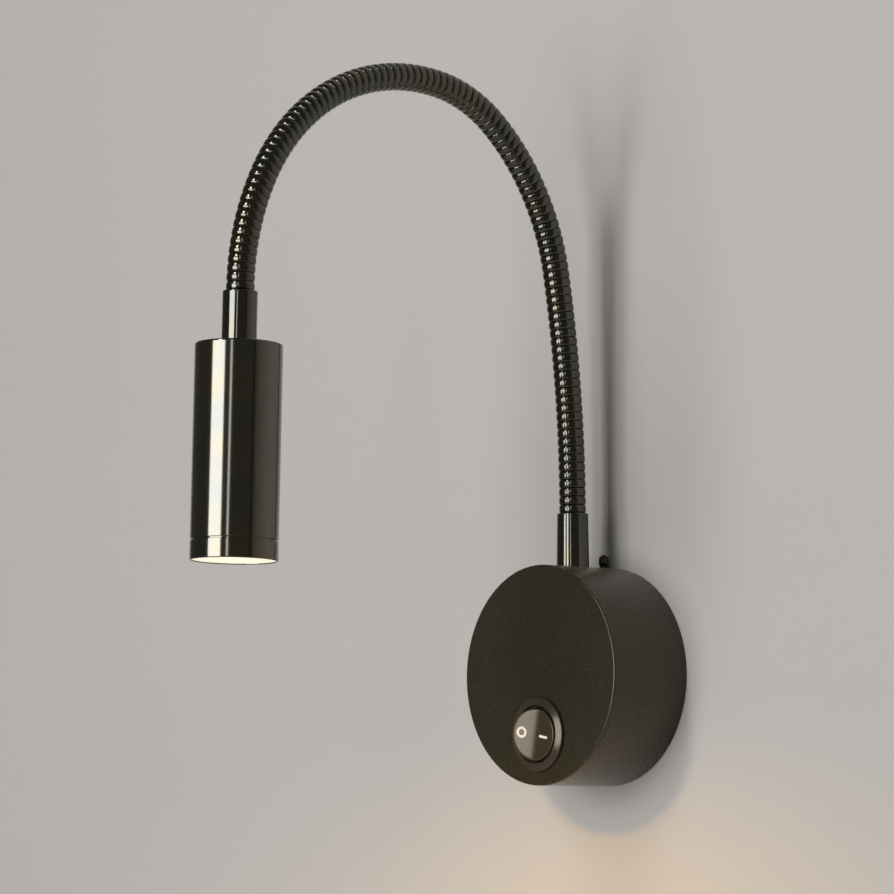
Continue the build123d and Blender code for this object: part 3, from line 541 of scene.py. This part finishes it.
def mark_paint():
    """Pad-printed paint, worn a little duller in spots."""
    base = bpy.context.scene.lamp_colours.marks
    f = Finish("mark_paint", IOR=1.5)
    wear = f.step(f.grain(2600.0, 3.0), 0.3, 0.55)
    return f.set(Base_Color=f.mix(wear, shade(base, 0.82), base), Roughness=0.42 + 0.1 * wear)


def lit_lens():
    """Frosted diffuser, lit: brightest over the LED, warmer and dimmer towards its rim."""
    middle = neck_line(head_end())[0] * MM
    warm, dim = (0.98, 0.82, 0.60), (0.70, 0.64, 0.53)
    f = Finish("lit_lens", IOR=1.49)
    spot = f.node("ShaderNodeTexCoord", {}, {}, "Object")
    away = f.node("ShaderNodeVectorMath", {"operation": "DISTANCE"}, {0: spot, 1: tuple(middle)}, "Value")
    rim = f.step(away, 0.004, 0.0145)
    frost = f.grain(1500.0, 3.0)
    tone = f.mix(rim, bpy.context.scene.lamp_colours.lens, warm)
    f.shader.inputs["Emission Strength"].default_value = 1.0
    return f.set(Base_Color=(0.5, 0.48, 0.44, 1.0), Emission_Color=f.mix(rim * 0.7 + 0.06 * frost, tone, dim),
                 Roughness=0.45 + 0.1 * frost, Normal=f.bump(frost, 0.01))


# ---- Operators ----


class LAMP_OT_base(bpy.types.Operator):
    """Cup with its rounded front edge and the hole for the switch, the pad for the neck and the cover screw"""

    bl_idname = "lamp.base"
    bl_label = "Base"

    def execute(self, context):
        sizes, neck = context.scene.lamp_base, context.scene.lamp_neck
        radius, depth, wall, edge, drop, hole = in_mm(
            sizes, "radius", "depth", "wall", "edge", "switch_drop", "switch_hole")
        coat = powder_coat()
        out = filleted([(0, depth, 0), (radius, depth, edge), (radius, 0, 0.15), (radius - wall, 0, 0.15),
                        (radius - wall, depth - wall, 0.4), (0, depth - wall, 0)], loop=False)
        # share of the way from the switch's circle, 0, to the cup's own, 1; the outline is radius and height as turned
        share = np.linspace(0, 1, 9)
        face = np.stack([hole + (out[1, 0] - hole) * share, 0 * share + depth], -1)
        inner = np.stack([hole + (out[-2, 0] - hole) * share[::-1], 0 * share + depth - wall], -1)
        outline = np.concatenate([face, out[2:-2], inner])
        shift = np.concatenate([share - 1, np.zeros(len(out) - 4), share[::-1] - 1]) * drop
        # each ring is a circle that starts round the switch and ends round the cup: (r cos t, r sin t + shift, h)
        r, h, t = outline[:, 0, None], outline[:, 1, None], circle(192)
        rings = np.stack([r * np.cos(t), r * np.sin(t) + shift[:, None], h + 0 * t], -1)
        cup = grid_mesh("base_shell", placed((0, 0, 0), (1, 0, 0), (0, -1, 0))(rings))
        piece_done(cup, "base", "base_paint", coat, "base_cup")

        # the pad gives the neck a flat seat under the cup's wall, and ends inside that wall
        bore, outer = 5.05, 8.5
        under, over = radius - wall - 1.7, radius - wall / 2 - 1.0
        pad = turned("neck_pad", [(bore, under, 0), (outer, under, 0.2), (outer, over, 0), (bore, over, 0)],
                     upright(neck.setback / MM - depth), 64)
        piece_done(pad, "base", "base_paint", coat)

        low, high = (np.array(corner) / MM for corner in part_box("cover_screw"))
        shank, ball, ball_height = 1.45, (high[0] - low[0]) / 2, 3.9
        screw = turned("cover_ball_screw", [(0, low[2], 0), (shank, low[2], 0.2), (shank, radius + 0.9, 0.1),
                                            (ball, high[2] - ball_height, 1.0), (ball, high[2], 1.8), (0, high[2], 0)],
                       upright((low[1] + high[1]) / 2), 48, loop=False)
        piece_done(screw, "base", "dark_screw", dark_nickel("screw_black", 0.30, 0.5), "cover_screw")
        return {"FINISHED"}


class LAMP_OT_switch(bpy.types.Operator):
    """Round housing with its sloping bezel, and the dished rocker with its ring and dash marks"""

    bl_idname = "lamp.switch"
    bl_label = "Switch"

    def execute(self, context):
        sizes = context.scene.lamp_base
        depth, drop, hole, bezel, bore = in_mm(
            sizes, "depth", "switch_drop", "switch_hole", "bezel_radius", "bezel_bore")
        inner, outer, radius, stroke = in_mm(sizes, "bezel_height", "bezel_edge", "rocker_radius", "mark_width")
        roll, tilt = np.radians(SWITCH_ROLL), np.radians(ROCKER_TILT)
        u = np.array([np.cos(roll), 0, -np.sin(roll)])
        w = np.array([np.sin(roll), 0, np.cos(roll)])
        outward = np.array([0.0, -1, 0])
        centre = np.array([0, -depth, -drop])
        plastic = moulded("switch_plastic", tuple(context.scene.lamp_colours.plastic), 0.20, texture=1600.0,
                          depth=0.0015, sheen=(1.0, 0.90, 0.72))
        # the housing: radii of its body and its well, and heights of its back, of the ledge under the rocker and of
        # the well's bottom
        body, well = hole - 0.1, 6.6
        back, ledge, bottom = -18, -5.2, -15.5
        can = turned("switch_can", [(0, back, 0), (body, back, 0.4), (body, 0, 0), (bezel, 0, 0.1),
                                    (bezel, outer, 0.55), (bore, inner, 0.35), (bore, 0, 0.1), (bore - 0.5, 0, 0.1),
                                    (bore - 0.5, ledge, 0.2), (well, ledge, 0.2), (well, bottom, 0.2), (0, bottom, 0)],
                     placed(centre, u, outward), 128, loop=False, sharp=45)
        piece_done(can, "base", "switch_black", plastic, "switch_housing")
        for number, side in ((1, 1), (2, -1)):
            pillar = rounded_block(f"switch_pillar_{number}", 2.0, 1.0, low=-5.4, high=0.2, edge=0.15,
                                   place=placed(centre + w * side * 6.4, u, outward))
            piece_done(pillar, "base", "switch_black", plastic)
            clip = rounded_block(f"switch_clip_{number}", 0.9, 3.0, low=-7.85, high=-1.85, edge=0.3,
                                 place=placed(centre + u * side * body, u, outward))
            piece_done(clip, "base", "switch_black", plastic)

        pivot = centre - outward * 1.5
        rocker_u = u * np.cos(tilt) - outward * np.sin(tilt)
        on_rocker = placed(pivot, rocker_u, outward * np.cos(tilt) + u * np.sin(tilt))
        # the top's rim is rounded, its height less edge (1 - cos f); three more rings are the side and the underside
        edge, flat, underside = 0.55, 15, (3.35, 3.2, 3.2)
        f = np.linspace(0, np.pi / 2, 6)[1:]
        reach = np.concatenate([np.linspace(0, radius - edge, flat), radius - edge + edge * np.sin(f),
                                [radius, radius - 0.2, 0]])
        t = circle(128)
        a, b = reach[:, None] * np.cos(t), reach[:, None] * np.sin(t)
        height = self.top(a)
        height[flat:-3] -= edge * (1 - np.cos(f))[:, None]
        height[-3:] = np.array(underside)[:, None]
        cap = grid_mesh("rocker_cap", on_rocker(np.stack([a, b, height], -1)), loop=False)
        piece_done(cap, "rocker", "switch_black", plastic, "rocker")
        web = rounded_block("rocker_web", 2.4, 5.0, low=1.2, high=3.4, edge=0.15, place=on_rocker)
        piece_done(web, "rocker", "switch_black", plastic)
        barrel = turned("rocker_barrel", [(0.95, -5, 0), (2.4, -5, 0.2), (2.4, 5, 0.2), (0.95, 5, 0)],
                        placed(pivot, rocker_u, w), 48)
        piece_done(barrel, "rocker", "switch_black", plastic)

        paint = mark_paint()
        inside, outside = 1.6 - stroke / 2, 1.6 + stroke / 2
        ring = filleted([(inside, MARK_SUNK, 0), (outside, MARK_SUNK, 0), (outside, MARK_PROUD, 0.05),
                         (inside, MARK_PROUD, 0.05)], steps=4, support=0.05)
        t = circle(72)
        a = RING_PLACE + ring[:, 0, None] * np.cos(t)
        rings = np.stack([a, ring[:, 0, None] * np.sin(t), self.top(a) + ring[:, 1, None]], -1)
        piece_done(grid_mesh("mark_ring", on_rocker(rings)), "rocker", "switch_black", paint)
        dash = rounded_block("mark_dash", 2.05, stroke / 2, low=MARK_SUNK, high=MARK_PROUD, edge=0.05,
                             place=lambda local: on_rocker(local + (DASH_PLACE, -0.1, 0)),
                             shape=lambda a: self.top(a + DASH_PLACE))
        piece_done(dash, "rocker", "switch_black", paint)
        return {"FINISHED"}

    def top(self, a):
        """Height of the rocker's dished top at a, measured square to its axle.

        Two flats rise from a soft crease: height + (sqrt((a - place)^2 + softness^2) - softness) tan dish.
        """
        rise = np.sqrt((a - CREASE_PLACE) ** 2 + CREASE_SOFTNESS ** 2) - CREASE_SOFTNESS
        return CREASE_HEIGHT + rise * np.tan(np.radians(ROCKER_DISH))


class LAMP_OT_neck(bpy.types.Operator):
    """Foot ferrule, the ribbed neck in five pieces and the lead inside it"""

    bl_idname = "lamp.neck"
    bl_label = "Neck"

    def execute(self, context):
        sizes, base = context.scene.lamp_neck, context.scene.lamp_base
        radius = base.radius / MM
        foot, ferrule, tip = in_mm(sizes, "foot", "ferrule", "ferrule_tip")
        crest, groove, bore = in_mm(sizes, "crest", "groove", "bore")
        turned_nickel = dark_nickel("nickel_ferrule", 0.09, tone=0.80)
        ribbed_nickel = dark_nickel("nickel_hose", 0.12, tone=0.75)
        outline = filleted([(ferrule, 0, 0), (tip, foot, 0.5), (MOUTH, foot, 0.2), (MOUTH, foot - MOUTH_DEPTH, 0),
                            (BORE, foot - MOUTH_DEPTH, 0), (BORE, radius - STUD_REACH, 0),
                            (STUD, radius - STUD_REACH, 0.4), (STUD, 0, 0)])
        rings = turned_rings(outline, upright((sizes.setback - base.depth) / MM), 96)
        # the foot sits on the cup: its low rings are lifted to a hair under the cup's surface, z = sqrt(radius^2 - x^2)
        seat = np.sqrt(radius ** 2 - rings[..., 0] ** 2) - 0.02
        rings[..., 2] = np.where((outline[:, 1] < radius / 2)[:, None], seat, rings[..., 2])
        piece_done(grid_mesh("foot_ferrule", rings), "base", "black_nickel_brass", turned_nickel, "base_ferrule")

        length = neck_length()
        pitch = length / RIBS
        insulation = soft("lead_black", (0.02, 0.02, 0.02))
        within = (1 - np.cos(np.pi * np.arange(sizes.rib_steps) / sizes.rib_steps)) / 2
        cuts = [0, *((RIBS_RIGID + RIBS_BENDING) * i + RIBS_TO_CUT for i in range(1, BENDS)), RIBS]
        for i in range(BENDS):
            first, last = i == 0, i == BENDS - 1
            s = ((np.arange(cuts[i], cuts[i + 1])[:, None] + within) * pitch).ravel()
            s = np.concatenate([[-NECK_TUCK] * first, s, [cuts[i + 1] * pitch], [length + NECK_TUCK] * last])
            outer = swept_rings(s, rib_radius(s, pitch, crest, groove), 64)
            # the bore takes every fourth point of the outside, and its last one
            inner = s[::-1][::4]
            if inner[-1] != s[0]:
                inner = np.append(inner, s[0])
            hose = grid_mesh(f"neck_hose_{i + 1}", np.concatenate([outer, swept_rings(inner, 0 * inner + bore, 64)]),
                             sharp=60)
            self.bends(hose, i, "black_nickel_steel", ribbed_nickel, f"hose_link_{i + 1}", f"hose_flex_{i + 1}",
                       *(["hose_link_6"] * last))
            lead = self.lead(f"led_lead_{i + 1}", np.linspace(cuts[i] * pitch, cuts[i + 1] * pitch, 60), first, last)
            self.bends(lead, i, "lead_black", insulation, "led_lead")
        return {"FINISHED"}

    def bends(self, piece, i, slot, material, *nodes):
        """Gives a piece its material, bakes its place into its mesh and hides the nodes it stands for; slot is not
        used.
        """
        ribs = RIBS_RIGID + RIBS_BENDING
        start, end = (neck_line(rib * (neck_length() / RIBS))[0] * MM
                      for rib in (ribs * i + RIBS_RIGID - RIBS_SPREAD, ribs * (i + 1) + RIBS_SPREAD))
        piece.data.materials.append(material)
        NECK_BODIES[i + 1]
        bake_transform(piece)
        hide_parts(*nodes)

    def lead(self, name, s, first, last):
        """A stretch of the LED's lead: on the neck's line, and with arcs down to the driver and past the LED.

        Its ring at each point is radius (x cos t + n sin t), n being square to the path in the plane x = 0.
        """
        path = neck_line(s)[0][:, 1:]
        if first:
            run = filleted([(*LEAD_START, 0), (path[0, 0], LEAD_START[1], 3.0), (*path[0], 0)], loop=False, support=1.0)
            path = np.concatenate([run[:-1], path])
        if last:
            ferrule = bpy.context.scene.lamp_head.ferrule / MM
            point, along, out = (v[1:] for v in neck_line(neck_length()))
            bend, beside, stop = (point + along * (ferrule + down) + out * off for down, off in LEAD_END)
            run = filleted([(*path[-1], 0), (*bend, 5.0), (*beside, 5.0), (*stop, 0)], loop=False, support=1.0)
            path = np.concatenate([path, run[1:]])
        along = np.gradient(path, axis=0)
        along /= np.linalg.norm(along, axis=1, keepdims=True)
        square = np.stack([0 * along[:, 0], along[:, 1], -along[:, 0]], -1)[:, None]
        centre = np.concatenate([np.zeros((len(path), 1)), path], 1)[:, None]
        t = circle(16)[:, None]
        rings = centre + LEAD_RADIUS * (np.array([1.0, 0, 0]) * np.cos(t) + square * np.sin(t))
        rings = np.concatenate([centre[:1] + 0 * rings[:1], rings, centre[-1:] + 0 * rings[-1:]])
        return grid_mesh(name, rings, loop=False)


class LAMP_OT_head(bpy.types.Operator):
    """Head ferrule, turned tube with its rounded top, the ring below its groove and the lit lens"""

    bl_idname = "lamp.head"
    bl_label = "Head"

    def execute(self, context):
        sizes = context.scene.lamp_head
        place = head_place()
        radius, wall, edge, top, groove, rim = in_mm(sizes, "radius", "wall", "edge", "ferrule", "groove", "rim")
        ferrule, end = context.scene.lamp_neck.ferrule / MM, (sizes.ferrule + sizes.length) / MM
        body_end = end - sizes.ring / MM - groove
        stud_end, stud_hole = top + STUD_REACH, 5.0
        upper = turned("head_ferrule_turned", [(MOUTH, 0, 0.2), (ferrule, 0, 0.5), (ferrule, top, 0), (STUD, top, 0),
                                               (STUD, stud_end, 0.4), (BORE, stud_end, 0), (BORE, MOUTH_DEPTH, 0),
                                               (MOUTH, MOUTH_DEPTH, 0)], place, 96)
        piece_done(upper, "head", "black_nickel_brass", bpy.data.materials["nickel_ferrule"], "head_ferrule")
        nickel = dark_nickel("nickel_head", 0.10)
        roof = top + 3
        tube = turned("head_tube", [(stud_hole, top, 0.1), (radius, top, edge), (radius, body_end, 0.2),
                                    (radius - wall, body_end, 0.1), (radius - wall, roof, 0.3), (stud_hole, roof, 0)],
                      place, 192)
        piece_done(tube, "head", "black_nickel_aluminium", nickel, "head_body")
        # the ring screws into the tube with its collar; the lens rests on its ledge, set back a little from its end
        lens_radius, set_back, lens_thickness, gasket = radius - rim, 0.3, 2.0, 0.5
        ledge = end - set_back - lens_thickness - gasket
        collar, collar_bore, waist = radius - wall - 0.05, radius - wall - 1.45, radius - 0.8
        collar_start, waist_end = body_end - 6, body_end + groove
        ring = turned("head_ring", [(collar_bore, collar_start, 0), (collar, collar_start, 0.3), (collar, body_end, 0),
                                    (waist, body_end, 0), (waist, waist_end, 0), (radius, waist_end, 0.15),
                                    (radius, end, 0.35), (lens_radius, end, 0.25), (lens_radius, ledge, 0),
                                    (collar_bore, ledge, 0)], place, 192)
        piece_done(ring, "head", "black_nickel_aluminium", nickel, "head_bezel")
        back, front = end - 2.3, end - set_back
        lens = turned("head_lens", [(0, back, 0), (lens_radius - 0.05, back, 0.1), (lens_radius - 0.05, front, 0.3),
                                    (0, front, 0)], place, 128, loop=False)
        piece_done(lens, "head", "lens_white", lit_lens(), "lens")
        return {"FINISHED"}


class LAMP_OT_inside(bpy.types.Operator):
    """Finishes for the pieces that stay as constructed: bracket, terminals, driver, leads, heat sink and LED"""

    bl_idname = "lamp.inside"
    bl_label = "Inner pieces"

    def execute(self, context):
        zinc = plated("zinc", (0.60, 0.60, 0.58), 0.38, 0.3)
        brass = plated("brass", (0.72, 0.50, 0.21), 0.30)
        white = moulded("white_moulding", (0.78, 0.78, 0.75), 0.45)
        brown = soft("insulation_brown", (0.16, 0.07, 0.03))
        finishes = {
            zinc: ("wall_bracket", "rocker_pins", "terminal_screws", "block_screw", "earth_screw", "neck_washer",
                   "neck_nut", "plunger_spring", "board_screws", "head_washer", "head_nut"),
            brass: ("common_terminal", "load_terminal", "terminal_cages", "earth_lug", "contact_bridge"),
            white: ("driver_case", "driver_lid", "terminal_block", "plunger"),
            brown: ("live_lead", "switched_lead"),
            soft("insulation_blue", (0.02, 0.10, 0.42)): ("neutral_lead",),
            soft("insulation_green", (0.05, 0.30, 0.04), 0.6, (0.75, 0.62, 0.04)): ("earth_lead", "neck_earth_lead"),
            soft("foam", (0.05, 0.05, 0.05), 0.9): ("driver_pad",),
            soft("gasket", (0.012, 0.012, 0.012), 0.7): ("lens_gasket",),
            moulded("red_sleeve", (0.50, 0.02, 0.015), 0.4): ("blade_connectors",),
            moulded("board_green", (0.02, 0.14, 0.05), 0.35): ("driver_board",),
            moulded("winding_tape", (0.72, 0.46, 0.05), 0.4): ("driver_transformer",),
            moulded("can_sleeve", (0.03, 0.06, 0.20), 0.3): ("driver_capacitor",),
            plated("reflector_bright", (0.88, 0.88, 0.88), 0.15, 0.05): ("reflector",),
            moulded("solder_mask", (0.85, 0.85, 0.83), 0.35): ("led_board",),
            moulded("phosphor", (0.80, 0.62, 0.10), 0.5): ("led_chip",),
            plated("bare_aluminium", (0.70, 0.70, 0.71), 0.36): ("heat_sink",),
        }
        for material, nodes in finishes.items():
            for node in nodes:
                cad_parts[node].material_slots[0].material = material
        return {"FINISHED"}


class LAMP_OT_stage(bpy.types.Operator):
    """Pale wall that shows from the room side only, pale floor, soft studio light and the camera"""

    bl_idname = "lamp.stage"
    bl_label = "Studio"

    def execute(self, context):
        scene = context.scene
        self.wall(scene.lamp_colours.wall)
        self.floor(scene.lamp_colours.floor)
        self.lights(scene)
        self.camera(scene)
        scene.view_settings.view_transform = "Standard"
        return {"FINISHED"}

    def wall(self, base):
        """Flat ring round the base's back, its radius growing by equal ratios, a hair behind the wall's plane; its
        paint carries painted shade to the right of the lamp.
        """
        r, t = np.geomspace(38.5, 5000.0, 24)[:, None], circle(96)
        rings = np.stack([r * np.cos(t), 0.25 + 0 * r * t, r * np.sin(t)], -1)[::-1]
        wall = grid_mesh("stage_wall", rings, loop=False, shut=False)
        paint = Finish("wall_paint", IOR=1.45)
        cloud, skin = paint.grain(3.0, 3.0), paint.grain(700.0, 3.0)
        tone = paint.mix(cloud, shade(base, 0.97), shade(base, 1.03))
        # painted shade: to the right of the lamp the wall's colour darkens as (near / x)^fall, x being the distance in
        # metres, in place of the room's light falling off
        near, fall = 0.14, 0.35
        along = paint.node("ShaderNodeSeparateXYZ", {}, {"Vector": paint.place()}, "X")
        lit = (near / along.maths("MAXIMUM", along, near)) ** fall
        tone = paint.mix(lit, (0.0, 0.0, 0.0), tone)
        paint.set(Base_Color=tone, Roughness=0.7 + 0.2 * skin, Normal=paint.bump(skin, 0.02))
        paint.shader.inputs["Specular IOR Level"].default_value = 0.2
        self.one_sided(paint)
        wall.data.materials.append(paint.material)
        return wall

    def floor(self, base):
        """Square of floor, its drop measured from the middle of the base."""
        reach, drop = 6000.0, 850.0
        x, y = np.meshgrid([-reach, reach], [-reach, reach])
        corners = np.stack([x, y, 0 * x - drop], -1).reshape(-1, 3)[[0, 1, 3, 2]] * MM
        mesh = bpy.data.meshes.new("stage_floor")
        mesh.from_pydata(corners.tolist(), [], [(0, 1, 2, 3)])
        floor = bpy.data.objects.new("stage_floor", mesh)
        bpy.context.scene.collection.objects.link(floor)
        paint = Finish("floor_paint", IOR=1.45)
        speck = paint.grain(500.0, 3.0)
        paint.set(Base_Color=paint.mix(speck, shade(base, 0.96), shade(base, 1.04)), Roughness=0.6 + 0.2 * speck)
        self.one_sided(paint)
        floor.data.materials.append(paint.material)
        return floor

    def one_sided(self, paint):
        """Lets a stage surface show from its front only, so that the lamp is seen from behind it as well."""
        behind = paint.node("ShaderNodeNewGeometry", {}, {}, "Backfacing")
        clear = paint.node("ShaderNodeBsdfTransparent", {}, {})
        shown = paint.node("ShaderNodeMixShader", {}, {0: behind, 1: Wire(paint, paint.shader.outputs[0]), 2: clear})
        paint.feed(paint.output.inputs["Surface"], shown)

    def lights(self, scene):
        """Three soft panels, a warm spot lamp just beyond the lens and a dim even world."""
        self.panel("softbox", (-0.0305, -1.8, 0.10), size=(1.019, 1.0), towards=(0, 1, 0), radiance=5.45,
                   tint=(1.0, 0.995, 0.98))
        self.panel("key", (-0.03, -1.62, 1.04), size=(0.26, 0.50), towards=(0.02, 1.62, -1.0), radiance=15.5,
                   tint=(1.0, 0.985, 0.96))
        strip, head = Vector((0.893, -1.49, 0.5)), Vector(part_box("head_body")[0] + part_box("head_body")[1]) / 2
        self.panel("strip", strip, size=(0.14, 1.0), towards=(head.x - strip.x, head.y - strip.y, 0), radiance=2.3,
                   tint=(1.0, 0.99, 0.97))

        beyond_lens = 2.0
        point, direction, _ = neck_line(head_end() + beyond_lens)
        glow = bpy.data.lights.new("lens_glow", "SPOT")
        glow.energy, glow.color = 2.6, (1.0, 0.52, 0.04)
        glow.spot_size, glow.spot_blend, glow.shadow_soft_size = 2.8, 0.8, 0.010
        self.hang(glow, point * MM, direction).visible_glossy = False

        scene.world = bpy.data.worlds.new("studio")
        scene.world.use_nodes = True
        back = scene.world.node_tree.nodes["Background"]
        back.inputs["Color"].default_value = (0.112, 0.107, 0.091, 1.0)
        back.inputs["Strength"].default_value = 1.0

    def panel(self, name, place, size, towards, radiance, tint):
        """Rectangular soft lamp, upright, whose power is four times its radiance times its area."""
        data = bpy.data.lights.new(name, "AREA")
        data.shape, data.size, data.size_y = "RECTANGLE", *size
        data.energy, data.color = 4 * radiance * size[0] * size[1], tint
        self.hang(data, place, towards).visible_camera = False

    def hang(self, data, place, towards):
        """Puts a lamp in its place, shining this way."""
        lamp = bpy.data.objects.new(data.name, data)
        lamp.location = Vector(place)
        lamp.rotation_mode = "QUATERNION"
        lamp.rotation_quaternion = Vector(towards).to_track_quat("-Z", "Y")
        bpy.context.scene.collection.objects.link(lamp)
        return lamp

    def camera(self, scene):
        """The camera at the photograph's place, turned by its azimuth, its rise and its roll."""
        azimuth, rise, roll = np.radians(CAMERA_TURNS)
        ahead = np.array([-np.sin(azimuth) * np.cos(rise), np.cos(azimuth) * np.cos(rise), np.sin(rise)])
        right = np.array([np.cos(azimuth), np.sin(azimuth), 0])
        up = np.cross(right, ahead)
        tilted = right * np.cos(roll) + up * np.sin(roll), up * np.cos(roll) - right * np.sin(roll)
        data = bpy.data.cameras.new("camera")
        data.sensor_fit, data.sensor_width = "HORIZONTAL", SENSOR_WIDTH
        data.lens = CAMERA_LENS / PHOTO_WIDTH * SENSOR_WIDTH
        data.clip_start, data.clip_end = 0.05, 50.0
        camera = bpy.data.objects.new("camera", data)
        camera.matrix_world = Matrix.Translation(CAMERA_PLACE) @ Matrix((*tilted, -ahead)).transposed().to_4x4()
        scene.collection.objects.link(camera)
        scene.camera = camera


class LAMP_PT_panel(bpy.types.Panel):
    """The lamp's operators, sizes and colours"""

    bl_label = "Reading lamp"
    bl_idname = "LAMP_PT_panel"
    bl_space_type = "VIEW_3D"
    bl_region_type = "UI"
    bl_category = "Reading lamp"

    def draw(self, context):
        layout = self.layout
        for operator in OPERATORS:
            layout.operator(operator.bl_idname)
        for name in GROUPS:
            group, box = getattr(context.scene, name), layout.box()
            for size in group.__annotations__:
                box.prop(group, size)


GROUPS = {"lamp_base": LampBaseSizes, "lamp_neck": LampNeckSizes, "lamp_head": LampHeadSizes,
          "lamp_colours": LampColours}
OPERATORS = (LAMP_OT_base, LAMP_OT_switch, LAMP_OT_neck, LAMP_OT_head, LAMP_OT_inside, LAMP_OT_stage)
CLASSES = (*GROUPS.values(), *OPERATORS, LAMP_PT_panel)


def register():
    for cls in CLASSES:
        bpy.utils.register_class(cls)
    for name, cls in GROUPS.items():
        setattr(bpy.types.Scene, name, PointerProperty(type=cls))


def unregister():
    for name in GROUPS:
        delattr(bpy.types.Scene, name)
    for cls in reversed(CLASSES):
        bpy.utils.unregister_class(cls)


def main():
    """Builds the lamp and its studio."""
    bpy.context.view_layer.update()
    register()
    for step in (bpy.ops.lamp.base, bpy.ops.lamp.switch, bpy.ops.lamp.neck, bpy.ops.lamp.head, bpy.ops.lamp.inside,
                 bpy.ops.lamp.stage):
        step()
    bpy.context.view_layer.update()


if __name__ == "__main__":
    main()
